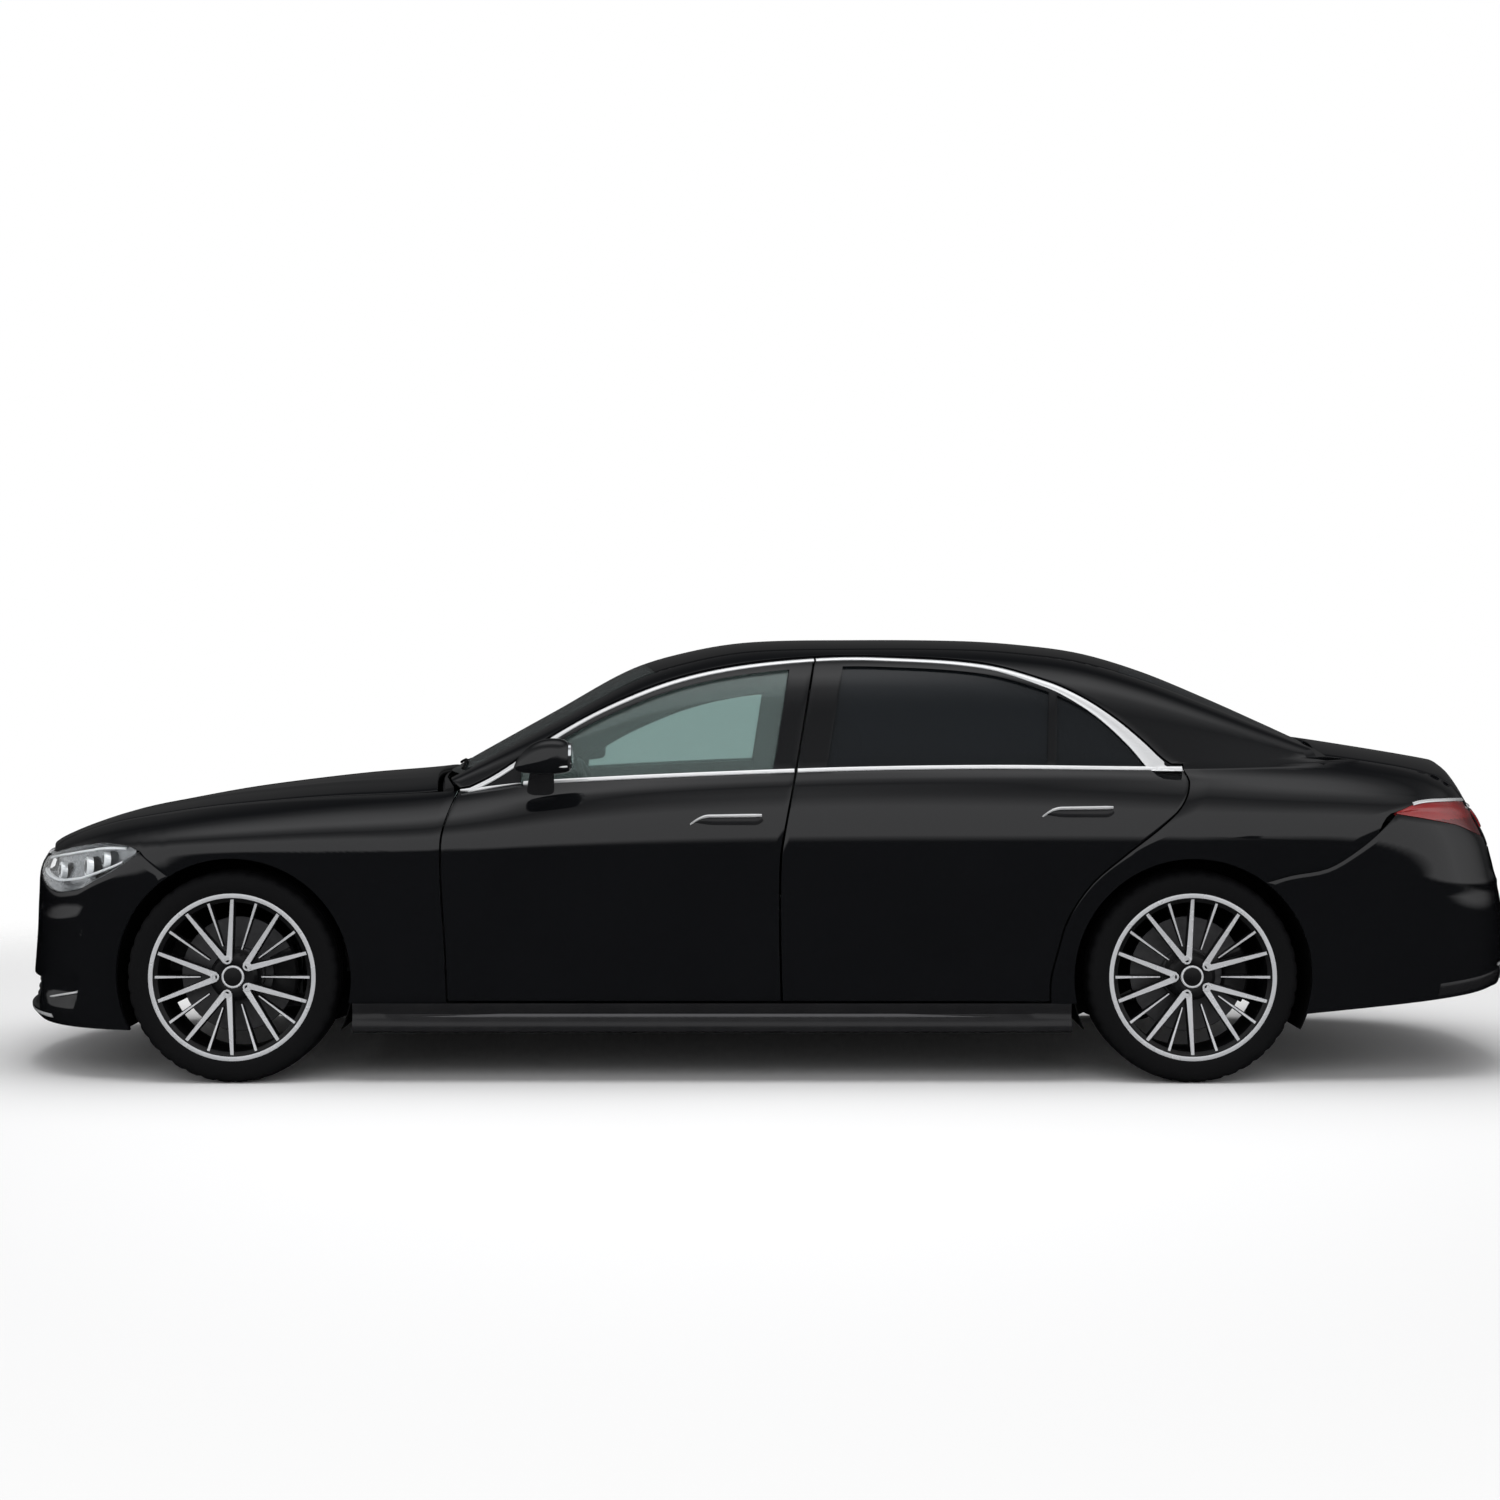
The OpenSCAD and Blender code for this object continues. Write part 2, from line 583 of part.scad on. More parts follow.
// Buffers on the top bar of the grille that carry the front edge of the hood.
hood_inset = 66;
module hood_buffers() {
  c = 0.2;
  x1 = hood_x(1, c);
  y = c * (hood_edge(x1) - half_gap - 1);
  x = nose_x(grille_top) - 26;
  z = top_z(x1, y) - lid_depth * (x1 - x) / hood_inset;
  for (s = [-1, 1])
    translate([x - 8, s * y - 4, grille_top - 1]) cube([8, 8,
      z - lid_depth * 8 / hood_inset - seam - grille_top + 1]);
}
grille_top = 754;
module grille() {
  cols = [grille_from + 0.004, 0.84, 0.92, 1];
  ks = both_ways(cols);
  zs = [grille_low + seam, 395, 450, 505, 560, 615, 670, 715, grille_top];
  nb = len(zs) - 1;
  open = function (i, j) j % 2 == 1 && j < nb - 1 && i > 0 && i < len(ks) - 2;
  color("#b9bdc0") {
    skin(
      len(ks) - 1, nb,
      function (i, j) face_front(ks[i], zs[j], 4),
      function (i, j) face_front(ks[i], zs[j], 34),
      open
    );
    hood_buffers();
  }
}

rear_low_line = [[0.343, 902], [0.42, 884], [0.5, 862], [0.58, 834], [0.66, 810]];
rear_high_line = [[0.343, 909], [0.42, 938], [0.52, 942], [0.66, 937]];
function rear_top(s) =
  s < 0.343 ? curve([[0, hub + arch_radius * sin(rear_seam_angle)], [0.06, 698], [0.147, 722],
    [0.223, 783], [0.343, 902]], s)
  : s <= 0.66 ? curve(rear_low_line, s)
  : lid_low - shut_gap;
// Buffers under the lower edge of the trunk lid.
lid_rise = 14;
module lid_buffers() {
  y = 0.55 * lid_face_half;
  x = tail_face_x(y, lid_low) + 12;
  top = lid_low + lid_rise * 12 / lid_depth - 3 * seam;
  for (s = [-1, 1])
    translate([x, s * y - 6, lid_low - shut_gap - 2]) cube([8, 12, top - lid_low + shut_gap + 2]);
}
module rear_bumper() {
  cols = [0, 0.06, 0.147, 0.223, 0.28, 0.343, 0.42, 0.5, 0.58, 0.66, 0.68, 0.8, 0.9, 1];
  ks = both_ways(cols);
  nb = 6;
  low = function (s) mix(232, 300, min(1, s / 0.6));
  z_of = function (k, j) let (s = 1 - abs(k)) mix(low(s), rear_top(s) - seam, j / nb);
  color("#101114") {
    skin(
      len(ks) - 1, nb,
      function (i, j) face_rear(ks[i], z_of(ks[i], j), 0),
      function (i, j) face_rear(ks[i], z_of(ks[i], j), 30)
    );
    lid_buffers();
  }
}
module tail_lamp() {
  cols = [0.344, 0.42, 0.5, 0.58, 0.657];
  ks = [for (i = [len(cols) - 1:-1:0]) 1 - cols[i]];
  nb = 3;
  z_of = function (k, j)
    let (s = 1 - k) mix(curve(rear_low_line, s) + lamp_seam, curve(rear_high_line, s) - lamp_seam, j / nb);
  skin(
    len(ks) - 1, nb,
    function (i, j) face_rear(ks[i], z_of(ks[i], j), 2),
    function (i, j) face_rear(ks[i], z_of(ks[i], j), 30)
  );
}
module tail_lamps() color("#7a1014") both() tail_lamp();

// Lamps on the trunk lid, on its rear face.
module trunk_lamp() {
  ys = [0.45, 0.55, 0.82, 0.97];
  zs = [840, 870, 900];
  at = function (i, j, d)
    let (y = ys[i] * lid_face_half) [tail_face_x(y, zs[j]) - d, y, zs[j]];
  skin(3, 2, function (i, j) at(i, j, 8), function (i, j) at(i, j, seam));
}
module trunk_lamps() color("#7a1014") both() trunk_lamp();

// Side frames: A-pillar, cant rail, C-pillar and rear quarter in one sheet.
function lamp_spot(s) = let (p = end_rear(s, curve(rear_high_line, s))) [p[0], p[2] + seam];
function seam_spot(s) = let (p = end_rear(s, rear_top(s))) [p[0], p[2] + lamp_seam];
function lid_spot(x) = [x, top_z(x, lid_edge(x) + half_gap + 1)];
function edge_spot(x) = [x, edge_z(x)];
function gap_up(x) = [x, top_edge(x) + shut_gap];
// Outline of both doors from the sill round the rear edge and along the top.
door_path = concat(
  [for (b = door_rows) door_point(0, b, rear_aft, rear_fore)],
  [for (a = rear_cols) door_point(a, 2, rear_aft, rear_fore)],
  [for (a = front_cols) door_point(a, 2, front_aft, front_fore)]
);
function square_to(v) = [-v[1], v[0]] / norm(v);
// The frame keeps the shut gap square to that outline.
function gap_spot(k) =
  let (
    n = len(door_path) - 1,
    v = k > 0 ? square_to(door_path[k] - door_path[k - 1]) : square_to(door_path[1] - door_path[0]),
    w = k < n ? square_to(door_path[k + 1] - door_path[k]) : v
  )
  door_path[k] + shut_gap * (v + w) / (1 + v * w);
n_rows = len(door_rows);
door_edge = [
  for (k = [0:n_rows - 1])
    let (p = gap_spot(k))
    [p[0], k == 0 ? sill_top + seam : p[1]]
];
door_steps = [
  0, 1, 2, 3, 3.5, 4, 4.33, 4.66, 5, 5.25, 5.5, 5.75, 6, 6.33, 6.66, 7, 7.5, 8, 9, 10, 10.5, 10.75, 11
];
quarter_low = [for (k = door_steps) along(door_edge, k / 11)];
quarter_high = concat(
  [for (a = [asin((sill_top + seam - hub) / arch_radius), 0, 12, 26, 38, 50, 60, 70, 80, 94, 110,
    rear_seam_angle])
    arch(rear_axle, a)],
  [for (s = [0.06, 0.147, 0.223, 0.28]) seam_spot(s)],
  [for (s = [0.343, 0.42, 0.5, 0.58, 0.66]) lamp_spot(s)],
  [lid_spot(rear_axle - 950), lid_spot(rear_axle - 760)]
);
// Inward directions at the far end of each quarter column.
function inward(s) = [sin(turn(s)), -cos(turn(s)), 0];
quarter_in = concat(
  [for (k = [0:11]) [0, -1, 0]],
  [for (s = [0.06, 0.147, 0.223, 0.28, 0.343, 0.42, 0.5, 0.58, 0.66]) inward(s)],
  [[0.6, -0.3, -0.65], [0.05, -0.35, -0.9]]
);
rail_low = [for (k = [n_rows:len(door_path) - 1]) gap_spot(k)];
rail_lean = [
  [cabin(0), cabin(-0.16)], [cabin(0.0437), cabin(-0.1025)], [cabin(0.0872), cabin(-0.0154)],
  [cabin(0.134), cabin(0.0655)], [cabin(0.1805), cabin(0.143)], [cabin(0.243), cabin(0.227)],
  [cabin(0.445), cabin(0.445)], [cabin(0.631), cabin(0.638)], [cabin(0.765), cabin(0.78)]
];
rail_high = [
  for (k = [n_rows:len(door_path) - 1])
    let (x = curve(rail_lean, door_path[k][0]))
    x < rear_axle - 470 ? lid_spot(x) : edge_spot(x)
];
module side_frame() {
  lows = concat(quarter_low, rail_low);
  highs = concat(quarter_high, rail_high);
  nq = len(quarter_low);
  na = len(lows) - 1;
  nb = 5;
  at = function (i, j) out_of_arch(mix(lows[i], highs[i], j / nb), rear_axle);
  inner = function (i, j)
    let (
      p = at(i, j),
      rail = i >= nq,
      a = mix(0, 84, j / nb),
      v = rail ? [0, -cos(a), -sin(a)] : mix([0, -1, 0], quarter_in[i], j / nb),
      d = rail ? 50 : 40,
      shift = j == 0 && !rail ? -0.5 * d : 0
    ) [p[0] + shift, side_y(p[0], p[1]), p[1]] + d * v;
  skin(na, nb, function (i, j) side(at(i, j)), inner);
}
module side_frames() color("#101114") both() side_frame();

// Roof, windscreen and rear window.
screen_top = cabin(0.582);
roof_back = cabin(0.045);
screen_seam = seam + 0.9;
function across(n) = [for (k = [n:-1:-n]) k / n];
module crown_sheet(x0, x1, rows, b0, b1, depth, cut) {
  cols = across(5);
  nb = len(cols) - 1;
  spot = function (i, j, d)
    let (
      c = cols[j],
      x = mix(x0 - b0 * c * c, x1 - b1 * c * c, i / rows),
      y = c * (side_y(x, edge_z(x)) - screen_seam),
      sx = i == 0 ? cut : i == rows ? -cut : 0,
      sy = j == 0 ? -cut : j == nb ? cut : 0
    ) d == 0 ? [x, y, roof_z(x, y)] : [x + sx, y + sy, roof_z(x, y) - d];
  skin(rows, nb, function (i, j) spot(i, j, 0), function (i, j) spot(i, j, depth));
}
module roof_panel() color("#0c0d0f") crown_sheet(roof_back + seam, screen_top - seam, 12, -60, 60, 36, 14);
module windscreen() color("#6f8784") crown_sheet(screen_top, cabin(0.8), 7, 60, 95, screen, 3);
module rear_window() color("#1b2022") crown_sheet(rear_axle - 484, roof_back, 6, -40, -60, screen, 3);

// Sills, floor, firewall and pillars.
sill_in = 800;
module sill() {
  translate([rear_axle + arch_radius + 8, 0, 0])
    rotate([90, 0, 90])
      linear_extrude(height = wheelbase - 2 * arch_radius - 12)
        polygon([
          [sill_in, sill_bottom + 12], [half - 60, sill_bottom], [half - 36, sill_bottom + 4],
          [half - 28, sill_bottom + 40], [half - 26, sill_top], [sill_in, sill_top]
        ]);
}
// Flat pads for a car jack under each sill.
jack_y = 850;
jack_xs = [rear_axle + arch_radius + 120, front_axle - arch_radius - 120];
module jack_pads() {
  for (x = jack_xs)
    translate([x - 40, jack_y - 30, sill_bottom - 2]) cube([80, 60, 30]);
}
module side_sills() {
  color("#15161a") both() {
    sill();
    jack_pads();
  }
}

floor_top = 214;
cabin_front = cabin(0.79);
bench_x = cabin(0.19);
boot_z = 420;
module floor_pan() {
  color("#3a3c40") {
    translate([0, 500, 0]) rotate([90, 0, 0]) linear_extrude(height = 1000) polygon([
      [cabin_front, sill_bottom + 14], [cabin_front, floor_top], [bench_x, floor_top],
      [cabin(0.12), boot_z], [tail + 260, boot_z], [tail + 260, boot_z - 18],
      [cabin(0.115), boot_z - 18], [bench_x - 12, sill_bottom + 14]
    ]);
    for (s = [-1, 1])
      translate([bench_x + 1, s > 0 ? 500 : -sill_in + seam, sill_bottom + 14])
        cube([cabin_front - bench_x - 1, sill_in - 500 - seam, floor_top - sill_bottom - 14]);
  }
}

pillar_y = 812;
module firewall() {
  color("#2b2d31") {
    translate([cabin_front + seam, -740, 190]) cube([24, 1480, 730]);
    translate([cabin_front + seam, -740, 905]) cube([70, 1480, 15]);
    both() {
      translate([front_hinge[0] - 22, 0, 0])
        rotate([90, 0, 90])
          linear_extrude(height = cabin_front + 24 - front_hinge[0] + 22)
            polygon([
              [700, sill_top + seam], [pillar_y, sill_top + seam], [pillar_y, 850],
              [740, 930], [700, 930]
            ]);
      hinge_arm(front_hinge, pillar_y - 10);
    }
  }
}
module centre_pillar() {
  x0 = rear_hinge[0] - 55;
  translate([x0, 0, 0])
    rotate([90, 0, 90])
      linear_extrude(height = 85)
        polygon([
          [760, sill_top + seam], [pillar_y + 8, sill_top + seam], [pillar_y + 8, 900], [780,
            belt_height - 5],
          [590, roof_height - 103], [555, roof_height - 103], [735, belt_height - 5], [760, 900]
        ]);
  hinge_arm(rear_hinge, pillar_y - 2);
}
module centre_pillars() color("#1d1e21") both() centre_pillar();

// Engine bay and running gear.
rail_y = 430;
knuckle_reach = 120;
module front_subframe() {
  color("#4a4d52") {
    for (s = [-1, 1])
      translate([cabin_front + 24.6, s > 0 ? rail_y : -rail_y - 50,
        330]) cube([nose - 190 - cabin_front - 24.6, 50, 110]);
    translate([nose - 191, -540, 330]) cube([40, 1080, 110]);
    translate([front_axle - 260, -rail_y - 50, 205]) cube([420, 2 * rail_y + 100, 60]);
    for (s = [-1, 1]) {
      translate([front_axle - 60, s > 0 ? rail_y : -rail_y - 50, 260]) cube([120, 50, 75]);
      translate([front_axle, 0, 205])
        linear_extrude(height = hub - knuckle_reach - seam - 205)
          polygon([
            [-60, s * (rail_y + 49)], [60, s * (rail_y + 49)],
            [22, s * (axle_y - 78)], [-22, s * (axle_y - 78)]
          ]);
    }
  }
}
module engine_block() {
  color("#54575c")
    translate([front_axle - 380, -300, 265 + seam]) cube([720, 600, 560]);
}
axle_y = track / 2;
module rear_axle_unit() {
  color("#4a4d52") {
    translate([rear_axle - 160, -200, 250]) cube([320, 400, boot_z - 18 - 250 - seam]);
    translate([rear_axle, -axle_y - 20, hub])
      rotate([-90, 0, 0]) cylinder(r = hub_bore - pin_play, h = 2 * axle_y + 40);
    for (s = [-1, 1])
      translate([rear_axle - 70, s > 0 ? axle_y - 128 : -axle_y + 66, hub - 90]) cube([140, 62, 180]);
  }
}
module knuckle() {
  translate([front_axle, axle_y, hub]) {
    rotate([90, 0, 0]) translate([0, 0, 62]) cylinder(r = 60, h = 56);
    translate([-45, -110, -knuckle_reach]) cube([90, 40, 2 * knuckle_reach]);
    rotate([90, 0, 0]) translate([0, 0, -20]) cylinder(r = hub_bore - pin_play, h = 90);
    translate([-disc_radius - 12, -98, -70]) cube([120, 40, 140]);
    translate([-disc_radius, -110, -40]) cube([disc_radius - 20, 30, 80]);
  }
}
module knuckle_left() color("#5d6066") knuckle();
module knuckle_right() mirror([0, 1, 0]) knuckle_left();

// Wheels, turned about Y with the outside towards +Y.
module tyre() {
  w = tyre_width / 2;
  color("#1a1a1b")
    rotate([-90, 0, 0])
      rotate_extrude($fn = 96)
        polygon([
          [rim_radius - 12, -w + 16], [rim_radius + 22, -w + 2], [tyre_radius - 34, -w + 1],
          [tyre_radius - 12, -w + 12], [tyre_radius, -w + 34], [tyre_radius, w - 34],
          [tyre_radius - 12, w - 12], [tyre_radius - 34, w - 1], [rim_radius + 22, w - 2],
          [rim_radius - 12, w - 16]
        ]);
}
spoke_tilt = 360 / (4 * double_spokes);
pocket_end = rim_radius - 33;
function rim_spot(a) = pocket_end * [cos(a), sin(a)];
// One opening between two spokes, from a straight edge beside the axis to the next arm.
module pocket(from, low, high) {
  polygon([[from, low], [pocket_end, low], rim_spot(spoke_tilt / 2), rim_spot(spoke_tilt - 1.6),
    [from, high]]);
}
module rim() {
  w = tyre_width / 2 - 14;
  r = rim_radius - 12 - seam;
  color("#8f9296")
    rotate([-90, 0, 0])
      difference() {
        rotate(4) rotate_extrude($fn = 96)
          polygon([
            [0, w - 50], [hub_bore, w - 50], [hub_bore, -36], [disc_radius, -36], [disc_radius,
              -6], [82, -6],
            [82, w - 27], [r - 14, w - 27], [r - 14, -w], [r, -w], [r, w], [rim_radius - 2, w + 2.6],
            [rim_radius, w + 8], [r - 10, w + 8], [r - 20, w - 3], [84, w - 3], [72, w + 2], [0, w + 2]
          ]);
        for (k = [0:double_spokes - 1])
          rotate(k * 360 / double_spokes)
            for (m = [0, 1])
              mirror([0, m, 0])
                translate([0, 0, w - 40])
                  linear_extrude(height = 50) {
                    pocket(108, 7, 19);
                    rotate(180 / double_spokes) pocket(90, 7, 30);
                  }
      }
}
module at_wheel(x, s) {
  translate([x, s * axle_y, hub]) mirror([0, s < 0 ? 1 : 0, 0]) children();
}
module tyre_front_left() at_wheel(front_axle, 1) tyre();
module tyre_front_right() at_wheel(front_axle, -1) tyre();
module tyre_rear_left() at_wheel(rear_axle, 1) tyre();
module tyre_rear_right() at_wheel(rear_axle, -1) tyre();
module rim_front_left() at_wheel(front_axle, 1) rim();
module rim_front_right() at_wheel(front_axle, -1) rim();
module rim_rear_left() at_wheel(rear_axle, 1) rim();
module rim_rear_right() at_wheel(rear_axle, -1) rim();

module liner(axle, y0, y1) {
  r = arch_radius + 6;
  translate([axle, y1, hub])
    rotate([90, 0, 0])
      rotate([0, 0, 12])
        rotate_extrude(angle = 156, $fn = 64)
          translate([r, 0]) square([5, y1 - y0]);
}
module arch_liners() {
  color("#191a1c") both() {
    liner(front_axle, rail_y + 50, half - 112);
    liner(rear_axle, 600, half - 88);
  }
}
module exhaust() {
  color("#6b6e72") {
    translate([cabin(0.2), 0, sill_bottom + 14 - 24 - seam])
      rotate([0, 90, 0]) cylinder(r = 24, h = cabin(0.7) - cabin(0.2));
    translate([tail + 330, -420, 300]) cube([260, 840, 102 - seam]);
  }
}

// Cabin.
module seat_block(x, w) {
  translate([x, 0, 0]) {
    rotate([90, 0, 0]) linear_extrude(height = w, center = true) polygon([
      [-300, floor_top + seam], [190, floor_top + seam], [240, 470], [220, 520], [-230, 500],
        [-420, belt_height - 25],
      [-500, belt_height - 35], [-410, 440]
    ]);
    translate([-520, -130, belt_height - 35]) cube([90, 260, 190]);
  }
}
module front_seats() color("#3b342e") for (s = [-1, 1]) translate([0, s * 370,
  0]) seat_block(cabin(0.5), 520);
module rear_bench() {
  color("#3b342e")
    translate([cabin(0.18), 590, 0]) rotate([90, 0, 0]) linear_extrude(height = 1180) polygon([
      [-90, boot_z + seam], [-60, 520], [330, 560], [360, 500], [340, floor_top + seam], [42,
        floor_top + seam],
      [-190, boot_z + seam], [-420, belt_height + 35], [-300, belt_height + 35]
    ]);
}
module dashboard() {
  color("#26262a")
    translate([cabin_front - seam, 690, 0]) rotate([90, 0, 0]) linear_extrude(height = 1380) polygon([
      [0, 560], [0, belt_height - 145], [-120, belt_height - 95], [-330, belt_height - 95], [-400,
        belt_height - 185], [-330, 700], [-220, 560]
    ]);
}
wheel_at = [cabin(0.628), 370, 905];
module steering_wheel() {
  color("#1d1d20")
    translate(wheel_at) rotate([0, -65, 0]) {
      rotate_extrude($fn = 64) translate([178, 0]) circle(r = 14, $fn = 24);
      translate([0, 0, -20]) cylinder(r = 62, h = 40);
      translate([-14, -172, -10]) cube([28, 344, 16]);
      translate([0, 0, -128]) cylinder(r = 24, h = 118);
    }
}

floor_pan();
firewall();
side_frames();
centre_pillars();
roof_panel();
front_fenders();
front_bumper();
rear_bumper();
grille();
headlamps();
tail_lamps();
windscreen();
rear_window();
front_subframe();
rear_axle_unit();
engine_block();
front_seats();
rear_bench();
dashboard();
side_sills();
arch_liners();
exhaust();
hood();
trunk_lid();
trunk_lamps();
front_door_left();
front_door_right();
rear_door_left();
rear_door_right();
front_glass_left();
front_glass_right();
rear_glass_left();
rear_glass_right();
mirror_left();
mirror_right();
knuckle_left();
knuckle_right();
tyre_front_left();
tyre_front_right();
tyre_rear_left();
tyre_rear_right();
rim_front_left();
rim_front_right();
rim_rear_left();
rim_rear_right();
steering_wheel();
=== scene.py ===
import json
import math

import bpy
import numpy as np
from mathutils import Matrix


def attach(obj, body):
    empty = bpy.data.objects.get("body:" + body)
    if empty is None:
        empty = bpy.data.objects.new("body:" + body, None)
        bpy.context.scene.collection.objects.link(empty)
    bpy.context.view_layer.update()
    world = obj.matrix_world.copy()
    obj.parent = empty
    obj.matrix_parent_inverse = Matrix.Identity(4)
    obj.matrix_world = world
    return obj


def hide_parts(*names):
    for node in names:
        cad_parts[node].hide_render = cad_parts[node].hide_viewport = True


bl_info = {
    "name": "Long saloon",
    "version": (1, 0, 0),
    "blender": (4, 5, 0),
    "location": "3D View > Sidebar > Saloon",
    "description": "Dresses the solids of a long four-door saloon with finished panels, wheels and cabin",
    "category": "Object",
}

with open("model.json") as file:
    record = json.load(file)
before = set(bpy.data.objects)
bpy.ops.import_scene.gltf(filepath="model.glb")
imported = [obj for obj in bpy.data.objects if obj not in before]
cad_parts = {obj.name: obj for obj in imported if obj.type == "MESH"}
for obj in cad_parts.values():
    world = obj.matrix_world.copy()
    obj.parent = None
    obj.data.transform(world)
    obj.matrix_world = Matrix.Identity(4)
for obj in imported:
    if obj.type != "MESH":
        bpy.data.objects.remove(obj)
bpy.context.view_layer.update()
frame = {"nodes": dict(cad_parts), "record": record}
MM = 0.001
BEVEL_FROM = 42  # degrees

# Main sizes in millimetres, the same as in the part's source.
NOSE, TAIL, HALF = 2644.5, -2644.5, 977.0
FRONT_AXLE, REAR_AXLE, WHEELBASE = 1785.5, -1430.5, 3216.0
HUB, TRACK_HALF, ARCH = 356.0, 827.0, 398.0
BELT, ROOF, WIDEST = 1045.0, 1503.0, 760.0
DOOR_BOTTOM, SILL_TOP, GLASS_LEAN = 276.0, 268.0, 0.42
EDGE_Y, EDGE_LEVEL = 585.0, 0.9
GAP, HALF_GAP, SEAM = 6.0, 3.0, 0.3
FRONT_START, REAR_START = FRONT_AXLE - 485, REAR_AXLE - 70


def cabin(f):
    """Station at a share of the wheelbase ahead of the rear axle."""
    return REAR_AXLE + f * WHEELBASE


def lines(base, pairs):
    return [(base + x, v) for x, v in pairs]


def shares(pairs):
    return [(cabin(f), v) for f, v in pairs]


CROWN_LINE = (
    [(TAIL, 1030)]
    + lines(REAR_AXLE, [(-1000, 1068), (-817, 1099), (-598, 1134), (-489, 1150), (-300, 1172), (0, 1215)])
    + shares([(0.15, 1265), (0.36, 1285), (0.54, 1245), (0.66, 1165), (0.74, 1085)])
    + lines(FRONT_AXLE, [(-640, 1043), (-311, 1013), (-92, 988), (128, 958), (346, 918), (456, 896)])
    + lines(FRONT_AXLE, [(565, 863), (675, 823), (774, 779), (859, 720)])
)
PLAN_LINE = [
    (TAIL, HALF - 16), (REAR_AXLE - 500, HALF - 8), (REAR_AXLE, HALF), (cabin(0.3), HALF - 9),
    (cabin(0.7), HALF - 14), (FRONT_AXLE, HALF - 8), (NOSE, HALF - 12),
]
NOSE_LINE = [(140, 70), (204, 2), (300, 8), (470, 22), (600, 28), (700, 38), (779, 85), (900, 150)]
TAIL_LINE = [
    (150, 140), (226, 60), (296, 16), (380, 2), (462, 0), (560, 6), (645, 24), (730, 45), (810, 70),
    (935, 138), (1060, 184), (1160, 220),
]
ROOF_LINE = shares([
    (-0.186, 0.12), (-0.152, 0.225), (-0.118, 0.336), (-0.05, 0.552), (0.0185, 0.751), (0.0866, 0.895),
    (0.154, 0.961), (0.223, 0.993), (0.3475, 1), (0.461, 0.983), (0.529, 0.91), (0.597, 0.766),
    (0.682, 0.437), (0.767, 0.105), (0.8015, -0.033), (0.85, -0.2),
])
BELT_LINE = shares([
    (-0.2, 15), (0.01, 5), (0.22, 10), (0.413, -2), (0.69, -44), (0.767, -77), (0.85, -115),
])
DOOR_TOP_LINE = shares([
    (0.01, 0.004), (0.028, 0.083), (0.0475, 0.216), (0.074, 0.376), (0.108, 0.537), (0.146, 0.662),
    (0.2135, 0.795), (0.323, 0.849), (0.391, 0.843), (0.477, 0.779), (0.5455, 0.668), (0.613, 0.478),
    (0.663, 0.286), (0.73, -0.03), (0.7667, -0.16),
])
BOW_LINE = shares([(-0.2, -80), (0.1, -60), (0.3, 0), (0.4, 0), (0.6, 60), (0.85, 80)])
FULL_LINE = [(REAR_AXLE - 900, 4.2), (REAR_AXLE, 3.3), (cabin(0.5), 3), (FRONT_AXLE, 3)]
B_CUT_LINE = [(270, -8), (440, -3), (742, -4), (859, -21), (1038, -55), (1433, -125)]
FRONT_EDGE_LINE = [(270, 30), (445, 36), (806, 50), (951, 14), (1000, -4)]
REAR_EDGE_LINE = [
    (270, 477), (349, 476), (444, 453), (554, 419), (676, 336), (770, 225), (859, 111), (929, 39),
    (1005, 8), (1050, 24),
]
HOOD_EDGE_LINE = lines(FRONT_AXLE, [
    (-640, 775), (-311, 752), (128, 725), (456, 685), (600, 640), (690, 592), (790, 520),
])
LID_EDGE_LINE = lines(REAR_AXLE, [(-990, 600), (-900, 655), (-720, 695), (-500, 702)])
LAMP_LOW = [(0.175, 772), (0.33, 700), (0.56, 628), (0.65, 646), (0.73, 690)]
LAMP_HIGH = [(0.175, 779), (0.25, 793), (0.464, 801), (0.6, 774), (0.73, 736)]
LAMP_COLS = [0.175, 0.25, 0.34, 0.44, 0.52, 0.58, 0.65, 0.73]
REAR_LOW = [(0.343, 902), (0.42, 884), (0.5, 862), (0.58, 834), (0.66, 810)]
REAR_HIGH = [(0.343, 909), (0.42, 938), (0.52, 942), (0.66, 937)]
REAR_SEAM = [(0, 673.9), (0.06, 698), (0.147, 722), (0.223, 783), (0.343, 902)]
RAIL_LEAN = [
    (cabin(a), cabin(b)) for a, b in (
        (0, -0.16), (0.0437, -0.1025), (0.0872, -0.0154), (0.134, 0.0655), (0.1805, 0.143),
        (0.243, 0.227), (0.445, 0.445), (0.631, 0.638), (0.765, 0.78),
    )
]
CREASE_LINE = [(-2350, 1000), (-1900, 1026), (-1180, 1030), (-96, 1002), (960, 948), (1542, 908), (1900, 880)]
DOOR_ROWS = [0, 0.1, 0.2, 0.32, 0.44, 0.55, 0.65, 0.74, 0.82, 0.89, 0.95, 1]
FRONT_COLS = [0, 0.07, 0.16, 0.27, 0.38, 0.49, 0.6, 0.7, 0.8, 0.9, 1]
REAR_COLS = [0, 0.03, 0.06, 0.095, 0.15, 0.21, 0.28, 0.355, 0.38, 0.48, 0.58, 0.69, 0.8, 0.9, 1]
SEAM_ANGLE, REAR_SEAM_ANGLE = 57.7, 127.0
SEAM_Z, REAR_SEAM_Z = (HUB + ARCH * math.sin(math.radians(a)) for a in (SEAM_ANGLE, REAR_SEAM_ANGLE))
LAMP_START, LAMP_END, REAR_LAMP_START, REAR_LAMP_END = 0.175, 0.73, 0.343, 0.66
MIDDLE, CLOSE, BODY_MIDDLE = 0.9995, 1e-4, 600.0
FRONT_INSIDE, REAR_INSIDE = (1900, 0, 400), (-1900, 0, 500)
GRILLE_FROM, GRILLE_LOW, GRILLE_TOP = 0.76, 372.0, 754.0
HOOD_REAR, HOOD_FRONT = FRONT_AXLE - 622, FRONT_AXLE + 776
